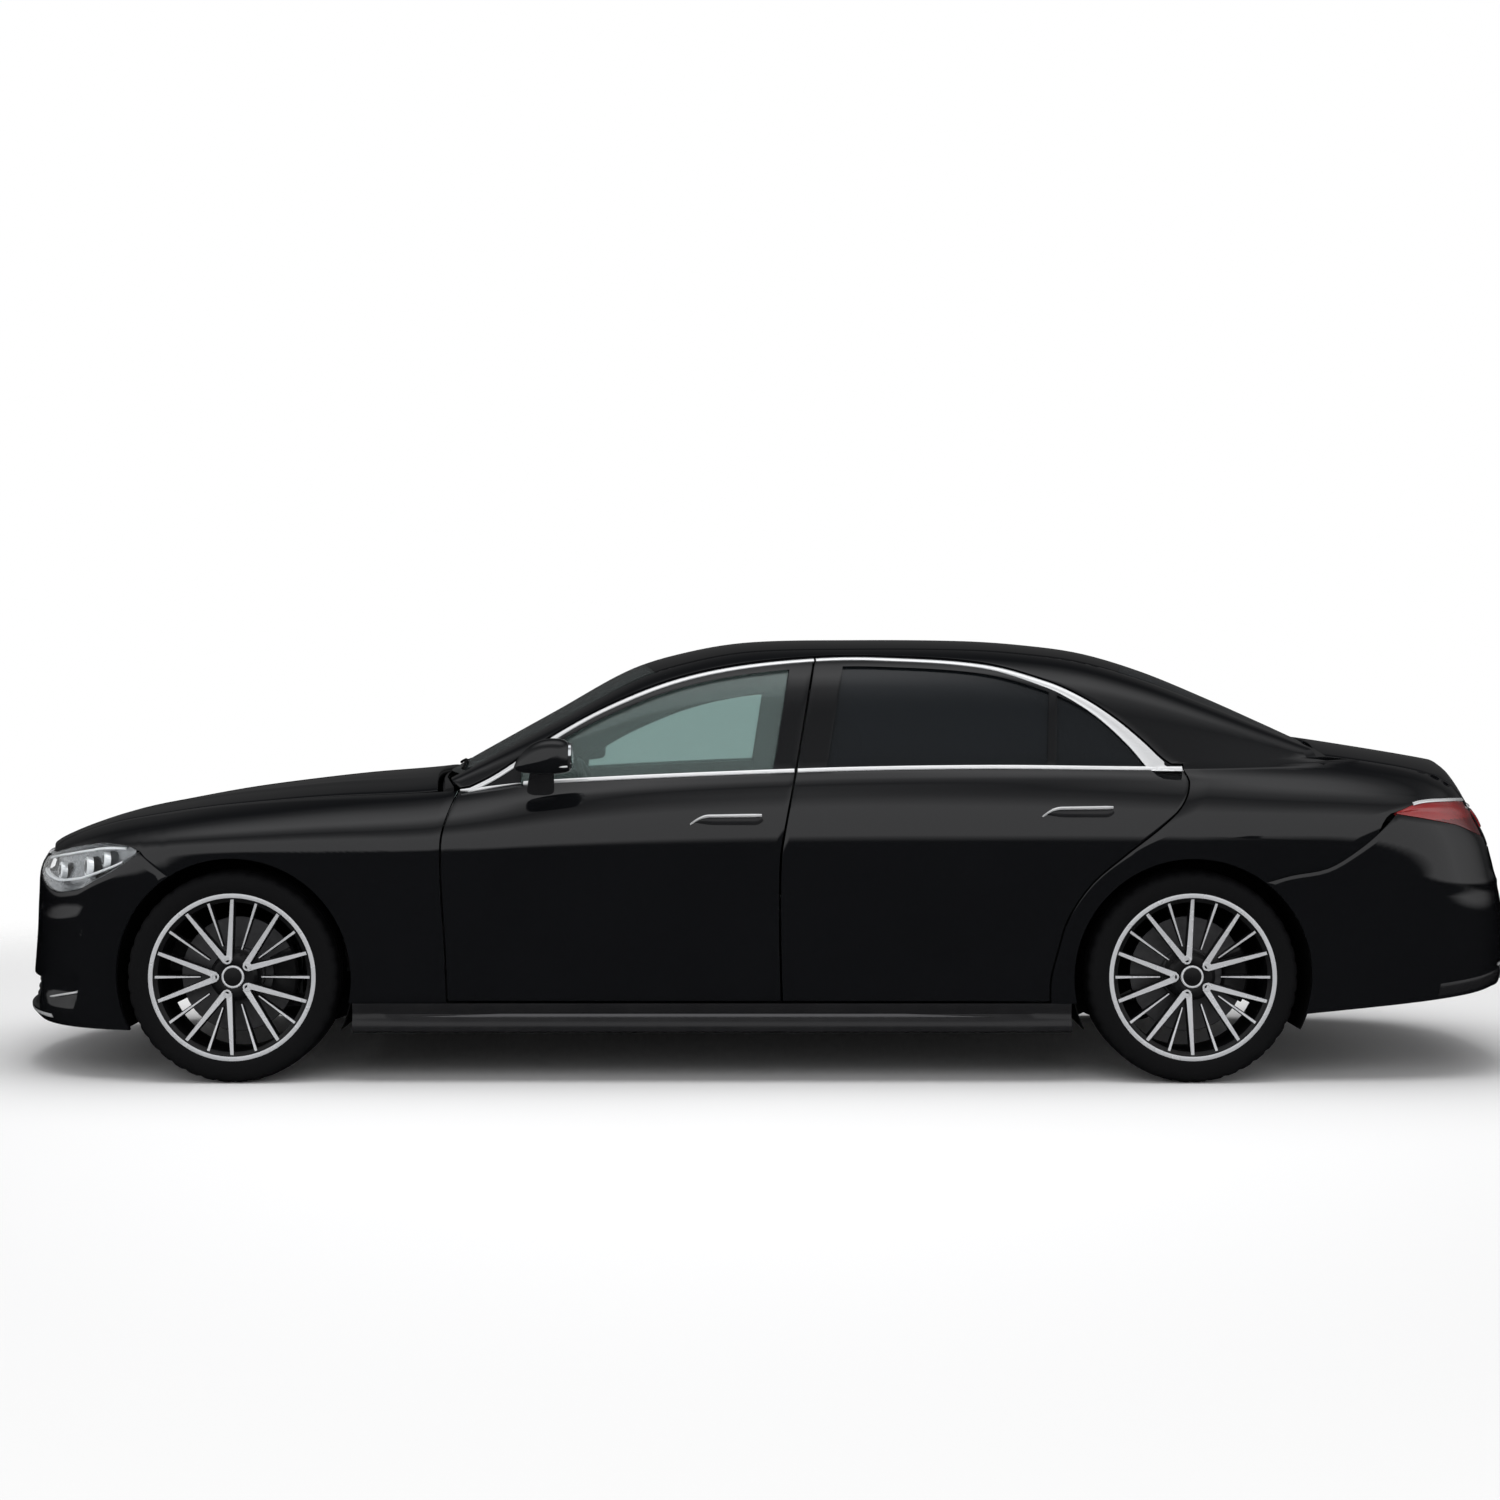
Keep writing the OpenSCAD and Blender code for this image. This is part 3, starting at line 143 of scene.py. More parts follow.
LID_FRONT, LID_LOW, LID_FACE_HALF = REAR_AXLE - 505, 778.0, 610.0
LID_CORNER, LID_END, LID_FADE = REAR_AXLE - 760, REAR_AXLE - 470, REAR_AXLE - 509
SCREEN_TOP, ROOF_BACK = cabin(0.582), cabin(0.045)
SLAB_BACK = 97.0


def curve(table, p):
    """Smooth curve through a table of positions and values."""
    t = np.asarray(table, float)
    xs, ys = t[:, 0], t[:, 1]
    p = np.asarray(p, float)
    i = np.clip(np.searchsorted(xs, p, side="right") - 1, 0, len(xs) - 2)
    g = np.gradient(ys, xs) if len(xs) < 3 else np.concatenate((
        [(ys[1] - ys[0]) / (xs[1] - xs[0])], (ys[2:] - ys[:-2]) / (xs[2:] - xs[:-2]),
        [(ys[-1] - ys[-2]) / (xs[-1] - xs[-2])]))
    h = xs[i + 1] - xs[i]
    u = np.clip((p - xs[i]) / h, 0, 1)
    s = 1 - u
    return (ys[i] * (1 + 2 * u) * s * s + g[i] * h * u * s * s
            + ys[i + 1] * u * u * (3 - 2 * u) - g[i + 1] * h * u * u * s)


def mix(a, b, t):
    return a + (b - a) * t


def crown(x):
    return curve(CROWN_LINE, x)


def belt(x):
    return BELT + curve(BELT_LINE, x)


def rise(h):
    """Height at a share of the way from belt to roof."""
    return BELT + h * (ROOF - BELT)


def nose_x(z):
    return NOSE - curve(NOSE_LINE, z)


def tail_x(z):
    return TAIL + curve(TAIL_LINE, z)


def taper(x, z):
    """Narrowing of the plan towards both ends."""
    f = np.clip((x - FRONT_START) / (nose_x(z) - FRONT_START), 0, 1)
    r = np.clip((REAR_START - x) / (REAR_START - tail_x(z)), 0, 1)
    return np.where(x > FRONT_START, np.sqrt(1 - f ** 6), (1 - r ** 6) ** (1 / 2.2))


def swell(x, z):
    """Roundness of the side above and below its widest height."""
    high = np.clip((z - WIDEST) / (crown(x) - WIDEST), 0, 1)
    low = (WIDEST - np.minimum(z, WIDEST)) / (WIDEST - 280)
    return np.where(z > WIDEST, (1 - high ** curve(FULL_LINE, x)) ** 0.406, 1 - 0.025 * low ** 2)


def crease(x, z):
    """Raised line along the shoulder, fading towards both ends."""
    fade = np.clip((x + 2350) / 500, 0, 1) * np.clip((1900 - x) / 500, 0, 1)
    return 3.2 * fade * np.exp(-((z - curve(CREASE_LINE, x)) / 17) ** 2)


def lower_y(x, z):
    """Half width of the body below the windows."""
    x, z = np.broadcast_arrays(np.asarray(x, float), np.asarray(z, float))
    return curve(PLAN_LINE, x) * taper(x, z) * swell(x, z)


def halve(test, a, b):
    """Finds by halving where a test that holds at a ends on the way to b."""
    a, b = np.broadcast_arrays(np.asarray(a, float), np.asarray(b, float))
    a, b = a.copy(), b.copy()
    for _ in range(22):
        m = (a + b) / 2
        far = test(m)
        a, b = np.where(far, m, a), np.where(far, b, m)
    return (a + b) / 2


def top_z(x, y):
    """Height of the hood or trunk at a station and half width."""
    x, y = np.broadcast_arrays(np.asarray(x, float), np.abs(np.asarray(y, float)))
    return halve(lambda z: lower_y(x, z) > y, np.full(x.shape, WIDEST), crown(x))


def tail_face_x(y, z):
    """Station of the rear face at a half width and height."""
    y, z = np.broadcast_arrays(np.abs(np.asarray(y, float)), np.asarray(z, float))
    return halve(lambda x: lower_y(x, z) > y, np.full(y.shape, REAR_START), tail_x(z))


def roof_mid(x):
    return rise(curve(ROOF_LINE, x))


def upper_h(x, y):
    return roof_mid(x + curve(BOW_LINE, x) * np.minimum(1, np.abs(y) / EDGE_Y) ** 2) - belt(x)


def side_y(x, z):
    """Half width of the whole side, windows included."""
    x, z = np.broadcast_arrays(np.asarray(x, float), np.asarray(z, float))
    d = z - belt(x)
    t = np.clip(d / upper_h(x, EDGE_Y), 0, 1)
    upper = (lower_y(x, belt(x)) - GLASS_LEAN * d) * np.sqrt(1 - t ** 10)
    return np.where(d > 0, upper, lower_y(x, z)) + crease(x, z)


def roof_z(x, y):
    """Height of the roof at a station and half width."""
    h = upper_h(x, y)
    b = lower_y(x, belt(x))
    t = 0.97
    for _ in range(2):
        t = (1 - np.minimum(1, np.abs(y) / (b - GLASS_LEAN * h * t)) ** 2) ** 0.1
    return belt(x) + h * t


def edge_z(x):
    return belt(x) + EDGE_LEVEL * upper_h(x, EDGE_Y)


def b_cut(z):
    return cabin(0.43) + curve(B_CUT_LINE, z)


def front_edge(z):
    return cabin(0.767) + curve(FRONT_EDGE_LINE, z)


def rear_edge(z):
    return REAR_AXLE + curve(REAR_EDGE_LINE, z)


def top_edge(x):
    return np.maximum(rise(curve(DOOR_TOP_LINE, x)), belt(x) + 14)


def front_aft(z):
    return b_cut(z) + HALF_GAP + 1.5


def front_fore(z):
    return front_edge(z) - HALF_GAP


def rear_aft(z):
    return rear_edge(z) + HALF_GAP


def rear_fore(z):
    return b_cut(z) - HALF_GAP


def hood_edge(x):
    return curve(HOOD_EDGE_LINE, x)


def lid_edge(x):
    return curve(LID_EDGE_LINE, x)


def column(a, x0, x1):
    """Station in a door: a share of its width, or millimetres back from its front edge if negative."""
    return np.where(a < 0, x1 + a, mix(x0, x1 - SLAB_BACK, a))


def door_spots(a, row, aft, fore):
    """Side-view points of a door; rows 0 to 1 are the skin, 1 to 2 the window, 2 to 3 its frame."""
    x = column(a, aft(BELT + 150), fore(BELT + 150))
    share = 1 - np.minimum(0.4, 36 / (top_edge(x) - belt(x)))
    above = np.where(row <= 2, 1 + share * (row - 1), 1 + share + (1 - share) * (row - 2))
    b = np.where(row <= 1, row, above)
    low = b <= 1
    z0 = np.where(low, mix(DOOR_BOTTOM, BELT - 10, b), BELT)
    x0 = column(a, aft(z0), fore(z0))
    z1 = np.where(low, mix(DOOR_BOTTOM, belt(x0), b), mix(belt(x0), top_edge(x0), b - 1))
    x1 = column(a, aft(z1), fore(z1))
    return x1, np.where(low, mix(DOOR_BOTTOM, belt(x1), b), mix(belt(x1), top_edge(x1), b - 1))


def end_front(s, z):
    """Point on the front face; s runs from the wheel opening to the middle."""
    s, z = np.broadcast_arrays(np.asarray(s, float), np.asarray(z, float))
    a0 = FRONT_AXLE + np.sqrt(ARCH ** 2 - (np.minimum(z, SEAM_Z) - HUB) ** 2)
    deep = nose_x(z) - FRONT_START
    a = mix(math.asin(0.78 ** 3), math.pi / 2, np.maximum(0, 2 * s - 1))
    x = np.where(s < 0.5, mix(a0, FRONT_START + 0.78 * deep, 2 * s), FRONT_START + deep * np.sin(a) ** (1 / 3))
    y = lower_y(x, np.minimum(z, crown(x) - 3))
    return np.where(s > MIDDLE, nose_x(z), x), np.where(s > MIDDLE, 0, y)


def end_rear(s, z):
    """Point on the rear face, counted like the one on the front face."""
    s, z = np.broadcast_arrays(np.asarray(s, float), np.asarray(z, float))
    a0 = REAR_AXLE - np.sqrt(ARCH ** 2 - (np.minimum(z, REAR_SEAM_Z) - HUB) ** 2)
    deep = REAR_START - tail_x(z)
    a = mix(math.asin(0.8 ** 3), math.pi / 2, np.maximum(0, 2 * s - 1))
    x = np.where(s < 0.5, mix(a0, REAR_START - 0.8 * deep, 2 * s), REAR_START - deep * np.sin(a) ** (1 / 3))
    return np.where(s > MIDDLE, tail_x(z), x), np.where(s > MIDDLE, 0, lower_y(x, z))


def face(end, k, z, d=0.0):
    """Point on an end face; k runs from -1 on the left round to 1 on the right, d sinks it."""
    k, z = np.broadcast_arrays(np.asarray(k, float), np.asarray(z, float))
    s = 1 - np.abs(k)
    x, y = end(s, z)
    a = np.radians(90 * np.clip((s - 0.2) / 0.7, 0, 1))
    back, side = 1 if end is end_rear else -1, np.where(k < 0, 1, -1)
    return xyz(x + back * d * np.sin(a), side * np.maximum(0, y - d * np.cos(a)), z)


def bumper_top(s):
    """Upper edge of the front bumper."""
    under = np.where(s <= LAMP_END + CLOSE, curve(LAMP_LOW, s), 748.0)
    return np.where(s < LAMP_START, mix(SEAM_Z, 772, s / LAMP_START), under)


def rear_top(s):
    """Upper edge of the rear bumper."""
    under = np.where(s <= REAR_LAMP_END + CLOSE, curve(REAR_LOW, s), LID_LOW - GAP)
    return np.where(s < REAR_LAMP_START, curve(REAR_SEAM, s), under)


def refine(knots, n):
    """Splits each step of a list into n."""
    parts = [np.linspace(a, b, n, endpoint=False) for a, b in zip(knots[:-1], knots[1:])]
    return np.concatenate(parts + [[knots[-1]]])


def both_ways(cols):
    """Columns of one half laid out over the full width."""
    cols = np.asarray(cols, float)
    return np.concatenate((cols - 1, 1 - cols[-2::-1]))


def xyz(x, y, z):
    return np.stack(np.broadcast_arrays(x, y, z), -1)


def between(s, start, grow, end, fade):
    """One between two places, falling to nothing at both."""
    return np.clip((s - start) / grow, 0, 1) * np.clip((end - s) / fade, 0, 1)


# Mesh tools.
def deselect():
    if bpy.context.object and bpy.context.object.mode != "OBJECT":
        bpy.ops.object.mode_set(mode="OBJECT")
    bpy.ops.object.select_all(action="DESELECT")


def pick(obj):
    deselect()
    obj.select_set(True)
    bpy.context.view_layer.objects.active = obj


def points_of(obj):
    co = np.empty(len(obj.data.vertices) * 3, np.float32)
    obj.data.vertices.foreach_get("co", co)
    return co.reshape(-1, 3)


def move(obj, co):
    obj.data.vertices.foreach_set("co", co.astype(np.float32).ravel())
    obj.data.update()


def put(obj, points):
    """Sets the vertices to points in millimetres."""
    move(obj, np.asarray(points, float) * MM)


def grid(name, points):
    """A grid primitive whose vertices are placed on the given rows of points."""
    nu, nv = points.shape[:2]
    deselect()
    bpy.ops.mesh.primitive_grid_add(x_subdivisions=nu - 1, y_subdivisions=nv - 1, size=2)
    obj = bpy.context.object
    obj.name = obj.data.name = name
    co = points_of(obj)
    if len(co) != nu * nv:
        raise RuntimeError(f"{name}: the grid has {len(co)} points and not {nu * nv}")
    i = np.rint((co[:, 0] + 1) / 2 * (nu - 1)).astype(int)
    j = np.rint((co[:, 1] + 1) / 2 * (nv - 1)).astype(int)
    put(obj, points[i, j])
    cell = obj.data.attributes.new("cell", "INT", "POINT")
    cell.data.foreach_set("value", (i * nv + j).astype(np.int32))
    return obj


def cells(obj):
    ids = np.empty(len(obj.data.vertices), np.int32)
    obj.data.attributes["cell"].data.foreach_get("value", ids)
    return ids


def edit(obj, *steps):
    """Runs edit-mode operators on all of a piece."""
    pick(obj)
    bpy.ops.object.mode_set(mode="EDIT")
    bpy.context.tool_settings.mesh_select_mode = (True, False, False)
    bpy.ops.mesh.select_all(action="SELECT")
    for step, words in steps:
        getattr(bpy.ops.mesh, step)(**words)
    bpy.ops.object.mode_set(mode="OBJECT")


def drop_cells(obj, nv, hole):
    """Deletes the grid cells that the mask marks as open."""
    ids = cells(obj)
    for part in (obj.data.vertices, obj.data.edges):
        part.foreach_set("select", np.zeros(len(part), bool))
    for p in obj.data.polygons:
        corner = ids[list(p.vertices)]
        p.select = bool(hole[(corner // nv).min(), (corner % nv).min()])
    pick(obj)
    bpy.context.tool_settings.mesh_select_mode = (False, False, True)
    bpy.ops.object.mode_set(mode="EDIT")
    bpy.ops.mesh.delete(type="FACE")
    bpy.ops.object.mode_set(mode="OBJECT")


def face_out(obj, inside):
    """Turns a sheet's faces away from a point inside the body."""
    ref = np.asarray(inside, float) * MM
    total = 0.0
    for p in obj.data.polygons:
        total += p.area * float(np.dot(np.array(p.normal), np.array(p.center) - ref))
    if total < 0:
        obj.data.flip_normals()


def modify(obj, kind, **values):
    pick(obj)
    m = obj.modifiers.new(kind.lower(), kind)
    for key, value in values.items():
        setattr(m, key, value)
    bpy.ops.object.modifier_apply(modifier=m.name)


def thicken(obj, depth, inner_slot=0):
    modify(obj, "SOLIDIFY", thickness=depth * MM, offset=-1, use_quality_normals=True,
           material_offset=inner_slot)


def smooth(obj, angle=35, bevel=0.0, segments=2):
    if bevel:
        modify(obj, "BEVEL", width=bevel * MM, segments=segments, limit_method="ANGLE",
               angle_limit=math.radians(BEVEL_FROM), use_clamp_overlap=True)
    pick(obj)
    bpy.ops.object.shade_smooth_by_angle(angle=math.radians(angle))


def sheet_panel(name, points, depth, hole=None, inside=None, bevel=2.0, inner_slot=0, angle=35):
    """A body panel: a placed grid with its openings cut, given a wall and rolled edges."""
    obj = grid(name, points)
    if hole is not None:
        drop_cells(obj, points.shape[1], hole)
    centre = points.reshape(-1, 3).mean(0)
    face_out(obj, (centre[0], 0, BODY_MIDDLE) if inside is None else inside)
    thicken(obj, depth, inner_slot)
    smooth(obj, angle, bevel)
    return obj


def shell_panel(name, outer, inner, hole, inner_slot, bevel=2.0):
    """A panel whose inner wall has its own placed points."""
    obj = grid(name, outer)
    drop_cells(obj, outer.shape[1], hole)
    face_out(obj, (outer[..., 0].mean(), 0, BODY_MIDDLE))
    thicken(obj, 10, inner_slot)
    ids = cells(obj)
    n = len(ids) // 2
    put(obj, np.concatenate((outer.reshape(-1, 3)[ids[:n]], inner.reshape(-1, 3)[ids[n:]])))
    smooth(obj, 35, bevel)
    return obj


def tube(name, rings, closed=False, caps=True, bevel=0.0, angle=35):
    """A skin over closed rings of points, capped at its ends."""
    rings = np.concatenate((rings, rings[:, :1]), 1)
    if closed:
        rings = np.concatenate((rings, rings[:1]), 0)
    obj = grid(name, rings)
    steps = [("remove_doubles", {"threshold": 2e-6})]
    if caps and not closed:
        steps.append(("fill_holes", {"sides": 0}))
    edit(obj, *steps, ("normals_make_consistent", {"inside": False}))
    smooth(obj, angle, bevel)
    return obj


def copy_of(obj, name):
    other = obj.copy()
    other.data = obj.data.copy()
    other.name = other.data.name = name
    bpy.context.scene.collection.objects.link(other)
    return other


def twin(obj, name):
    """The same piece for the right side, with its own mesh."""
    other = copy_of(obj, name)
    other.data.flip_normals()
    move(other, points_of(other) * np.array([1, -1, 1], np.float32))
    return other


def join(objs, name):
    pick(objs[0])
    for o in objs[1:]:
        o.select_set(True)
    bpy.ops.object.join()
    obj = bpy.context.object
    obj.name = obj.data.name = name
    return obj


def dress(obj, *materials):
    obj.data.materials.clear()
    for m in materials:
        obj.data.materials.append(finishes[m])
    return obj


def place(obj, body, slot, *nodes):
    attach(obj, body)
    if nodes:
        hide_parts(*nodes)
    return obj


def place_pair(half, name, body, slot, *nodes):
    """Joins a piece of one side and its twin into one piece."""
    place(join([half, twin(half, "other_half")], name), body, slot, *nodes)


def place_on_doors(left, kind, slot, node=None):
    """Puts a left piece on the left door of a kind and its twin on the right one."""
    right = twin(left, left.name.replace("left", "right"))
    for obj, side in ((left, "left"), (right, "right")):
        place(obj, f"{kind}_door_{side}_body", slot, *([f"{node}_{side}"] if node else []))


def second_finish(obj, test):
    """Gives the faces that pass a test the second of a piece's finishes."""
    for p in obj.data.polygons:
        p.material_index = int(test(p))


def unit(v):
    return v / np.maximum(1e-9, np.linalg.norm(v, axis=-1, keepdims=True))


def side_points(xz, lift=0.0):
    """Points of the side view laid on the body side."""
    xz = np.asarray(xz, float)
    return xyz(xz[..., 0], side_y(xz[..., 0], xz[..., 1]) + lift, xz[..., 1])


def side_normal(xz):
    e = 2.0
    x, z = xz[..., 0], xz[..., 1]
    dx = (side_y(x + e, z) - side_y(x - e, z)) / (2 * e)
    dz = (side_y(x, z + e) - side_y(x, z - e)) / (2 * e)
    return unit(xyz(-dx, np.ones_like(x), -dz))


def side_strip(name, xz, width, raised=4.0, sink=2.0, level=None):
    """A bright strip with a crowned face along a line of the body side."""
    xz = np.asarray(xz, float)
    p = side_points(xz)
    out = side_normal(xz)
    run = unit(np.gradient(p, axis=0))
    across = unit(np.cross(out, run))
    w = np.broadcast_to(np.asarray(width, float), (len(xz),))[:, None] / 2
    low, high = raised * 0.45, raised * 0.85
    shape = np.array([(-1, -sink), (-1, low), (-0.6, high), (0, raised), (0.6, high), (1, low), (1, -sink)])
    sideways = (shape[:, 0] * w)[..., None] * across[:, None, :]
    rings = p[:, None, :] + sideways + shape[None, :, 1:] * out[:, None, :]
    if level is not None:
        rings[..., 2] = np.maximum(rings[..., 2], belt(rings[..., 0]) + level)
    return tube(name, rings, angle=50)


def outline_offset(path, d):
    """Moves a side-view line square to itself, to its left."""
    v = np.diff(path, axis=0)
    v = np.stack((-v[:, 1], v[:, 0]), 1) / np.linalg.norm(v, axis=1)[:, None]
    a, b = np.vstack((v[:1], v)), np.vstack((v, v[-1:]))
    stretch = np.maximum(0.4, 1 + (a * b).sum(1))[:, None]
    return path + np.asarray(d, float).reshape(-1, 1) * (a + b) / stretch


def arch_point(axle, angle, r=ARCH):
    a = np.radians(angle)
    return np.stack((axle + r * np.cos(a), HUB + r * np.sin(a)), -1)


def turn_y(points, degrees, about):
    a = math.radians(degrees)
    p = np.asarray(points, float) - about
    x = p[..., 0] * math.cos(a) + p[..., 2] * math.sin(a)
    z = -p[..., 0] * math.sin(a) + p[..., 2] * math.cos(a)
    return xyz(x, p[..., 1], z) + about


# Finishes.
finishes = {}


def settings():
    return bpy.context.scene.saloon


def new_nodes(tree, *kinds):
    return [tree.nodes.new(f"ShaderNode{kind}") for kind in kinds]


def wire(tree, *rows):
    """Links sockets; a row has a node, its output, the next node and its input."""
    for a, out, b, into in rows:
        tree.links.new(a.outputs[out], b.inputs[into])


def preset(node, values):
    for key, value in values.items():
        node.inputs[key].default_value = value


def finish_group():
    """Slow change of tone and gloss over a surface, with fine relief."""
    g = bpy.data.node_groups.new("surface_finish", "ShaderNodeTree")
    for name in ("Color A", "Color B", "Scale", "Rough Low", "Rough High", "Relief", "Grain Scale", "Grain"):
        kind = "NodeSocketColor" if name.startswith("Color") else "NodeSocketFloat"
        g.interface.new_socket(name=name, in_out="INPUT", socket_type=kind)
    for name, kind in (("Color", "Color"), ("Roughness", "Float"), ("Normal", "Vector")):
        g.interface.new_socket(name=name, in_out="OUTPUT", socket_type=f"NodeSocket{kind}")
    gi, go = g.nodes.new("NodeGroupInput"), g.nodes.new("NodeGroupOutput")
    where, noise, grain, tone, rough = new_nodes(g, "TexCoord", "TexNoise", "TexVoronoi", "Mix", "MapRange")
    high, low, total, bump = new_nodes(g, "Math", "Math", "Math", "Bump")
    tone.data_type = "RGBA"
    high.operation = low.operation = "MULTIPLY"
    total.operation = "ADD"
    preset(noise, {"Detail": 4.0})
    preset(bump, {"Distance": 0.001})
    preset(rough, {"From Min": 0.3, "From Max": 0.7})
    wire(
        g, (where, "Object", noise, "Vector"), (where, "Object", grain, "Vector"),
        (gi, "Scale", noise, "Scale"), (gi, "Grain Scale", grain, "Scale"),
        (noise, "Fac", tone, "Factor"), (gi, "Color A", tone, "A"), (gi, "Color B", tone, "B"),
        (noise, "Fac", rough, "Value"), (gi, "Rough Low", rough, "To Min"), (gi, "Rough High", rough, "To Max"),
        (noise, "Fac", high, 0), (gi, "Relief", high, 1), (grain, "Distance", low, 0), (gi, "Grain", low, 1),
        (high, 0, total, 0), (low, 0, total, 1), (total, 0, bump, "Height"),
        (tone, "Result", go, "Color"), (rough, "Result", go, "Roughness"), (bump, "Normal", go, "Normal"),
    )
    return g


def finish(group, name, a, b, scale, rough, relief=0.0, grain=(400.0, 0.0), **sockets):
    """A material between two tones; rough is its range of gloss, grain the size and height of its grain."""
    m = bpy.data.materials.new(name)
    m.use_nodes = True
    nodes = m.node_tree.nodes
    bsdf = nodes["Principled BSDF"]
    g = nodes.new("ShaderNodeGroup")
    g.node_tree = group
    preset(g, {"Color A": (*a, 1), "Color B": (*b, 1), "Scale": scale, "Rough Low": rough[0],
               "Rough High": rough[1], "Relief": relief, "Grain Scale": grain[0], "Grain": grain[1]})
    wire(m.node_tree, (g, "Color", bsdf, "Base Color"), (g, "Roughness", bsdf, "Roughness"))
    if relief or grain[1]:
        wire(m.node_tree, (g, "Normal", bsdf, "Normal"))
    preset(bsdf, {key.replace("_", " "): value for key, value in sockets.items()})
    finishes[name] = m


def shade(colour, f):
    return tuple(min(1.0, c * f) for c in colour)


def build_finishes():
    s, g = settings(), finish_group()
    paint = tuple(s.paint)
    finish(g, "paint", shade(paint, 0.85), shade(paint, 1.15), 3.0, (0.3, 0.4),
           Coat_Weight=1.0, Coat_Roughness=0.02, Coat_IOR=1.5, Specular_IOR_Level=0.0)
    finish(g, "roof_gloss", shade(paint, 0.6), shade(paint, 0.9), 2.0, (0.05, 0.09),
           Coat_Weight=1.0, Coat_Roughness=0.02, Coat_IOR=1.45, Specular_IOR_Level=0.0)
    finish(g, "black_trim", (0.010, 0.010, 0.011), (0.016, 0.016, 0.017), 14.0, (0.16, 0.26), 0.1,
           Specular_IOR_Level=0.3)
    finish(g, "lining", (0.003, 0.003, 0.003), (0.006, 0.006, 0.006), 30.0, (0.8, 0.95), 0.5,
           (700.0, 0.5), Specular_IOR_Level=0.1)
    finish(g, "mesh_insert", (0.006, 0.006, 0.006), (0.014, 0.014, 0.014), 20.0, (0.4, 0.6), 0.0,
           (90.0, 3.0))
    # Over half of this chrome is plain near-white paint lit by the lamps, a painted reflection that makes the
    # trims read bright white; the rest is real metal reflection.
    finish(g, "chrome_painted_reflection", (0.84, 0.85, 0.86), (0.90, 0.91, 0.92), 6.0, (0.14, 0.20), Metallic=0.45)
    clear = tuple(s.front_glass)
    finish(g, "clear_glass", shade(clear, 0.97), shade(clear, 1.03), 1.5, (0.0, 0.015),
           Transmission_Weight=0.9, IOR=1.45)
    dark = tuple(s.rear_glass)
    finish(g, "dark_glass", shade(dark, 0.9), shade(dark, 1.1), 1.5, (0.0, 0.02),
           Transmission_Weight=0.75, IOR=1.4)
    finish(g, "lamp_cover", (0.93, 0.95, 0.96), (0.97, 0.98, 0.99), 6.0, (0.0, 0.02),
           Transmission_Weight=1.0, IOR=1.2)
    finish(g, "lamp_silver", (0.16, 0.165, 0.17), (0.38, 0.39, 0.40), 40.0, (0.10, 0.30), 0.3,
           (160.0, 0.6), Metallic=1.0)
    finish(g, "lamp_white", (0.80, 0.82, 0.84), (0.92, 0.93, 0.94), 30.0, (0.25, 0.4), 0.0, (300.0, 0.4))
    finish(g, "lamp_red", (0.20, 0.008, 0.010), (0.42, 0.03, 0.03), 7.0, (0.10, 0.2), 0.0, (140.0, 0.5),
           Coat_Weight=1.0, Coat_Roughness=0.02)
    finish(g, "lamp_red_deep", (0.10, 0.004, 0.006), (0.18, 0.01, 0.012), 9.0, (0.08, 0.16), 0.0,
           (180.0, 0.6), Coat_Weight=1.0, Coat_Roughness=0.02)
    finish(g, "rubber", (0.0035, 0.0036, 0.0042), (0.0060, 0.0060, 0.0066), 16.0, (0.62, 0.82), 0.4,
           (520.0, 0.3), Specular_IOR_Level=0.12)
    face_metal = tuple(s.rim_face)
    finish(g, "rim_face", shade(face_metal, 0.92), shade(face_metal, 1.05), 9.0, (0.24, 0.30), Metallic=0.4)
    finish(g, "rim_dark", (0.004, 0.004, 0.0045), (0.008, 0.008, 0.0085), 20.0, (0.25, 0.38), 0.05,
           Specular_IOR_Level=0.25)
    finish(g, "disc_steel", (0.10, 0.10, 0.105), (0.17, 0.17, 0.175), 50.0, (0.35, 0.5), 0.3, Metallic=1.0)
    hide = tuple(s.leather)
    finish(g, "leather", shade(hide, 0.85), shade(hide, 1.15), 9.0, (0.42, 0.58), 0.25, (420.0, 0.9))
    finish(g, "soft_trim", (0.018, 0.018, 0.020), (0.028, 0.028, 0.030), 12.0, (0.6, 0.75), 0.3,
           (650.0, 0.7))
    finish(g, "carpet", (0.014, 0.014, 0.015), (0.030, 0.030, 0.031), 90.0, (0.9, 1.0), 1.5, (1200.0, 1.2))
    finish(g, "roof_cloth", (0.10, 0.10, 0.10), (0.14, 0.14, 0.14), 60.0, (0.85, 0.95), 0.6, (1500.0, 0.5))
    finish(g, "steel", (0.030, 0.030, 0.032), (0.055, 0.055, 0.058), 18.0, (0.45, 0.7), 0.4, (300.0, 0.3))
    finish(g, "cast", (0.16, 0.165, 0.17), (0.24, 0.245, 0.25), 25.0, (0.4, 0.6), 0.8, (260.0, 0.8),
           Metallic=1.0)
    finish(g, "pipe", (0.20, 0.19, 0.18), (0.30, 0.29, 0.28), 10.0, (0.3, 0.5), 0.3, Metallic=1.0)
    finish(g, "mirror_glass", (0.70, 0.72, 0.74), (0.76, 0.78, 0.80), 5.0, (0.02, 0.05), Metallic=1.0)
    finish(g, "screen_glass", (0.09, 0.11, 0.11), (0.11, 0.13, 0.13), 1.5, (0.0, 0.015),
           Transmission_Weight=0.85, IOR=1.45)
    finish(g, "screen", (0.004, 0.005, 0.007), (0.008, 0.009, 0.012), 4.0, (0.06, 0.12), Coat_Weight=1.0)
    finish_solids()


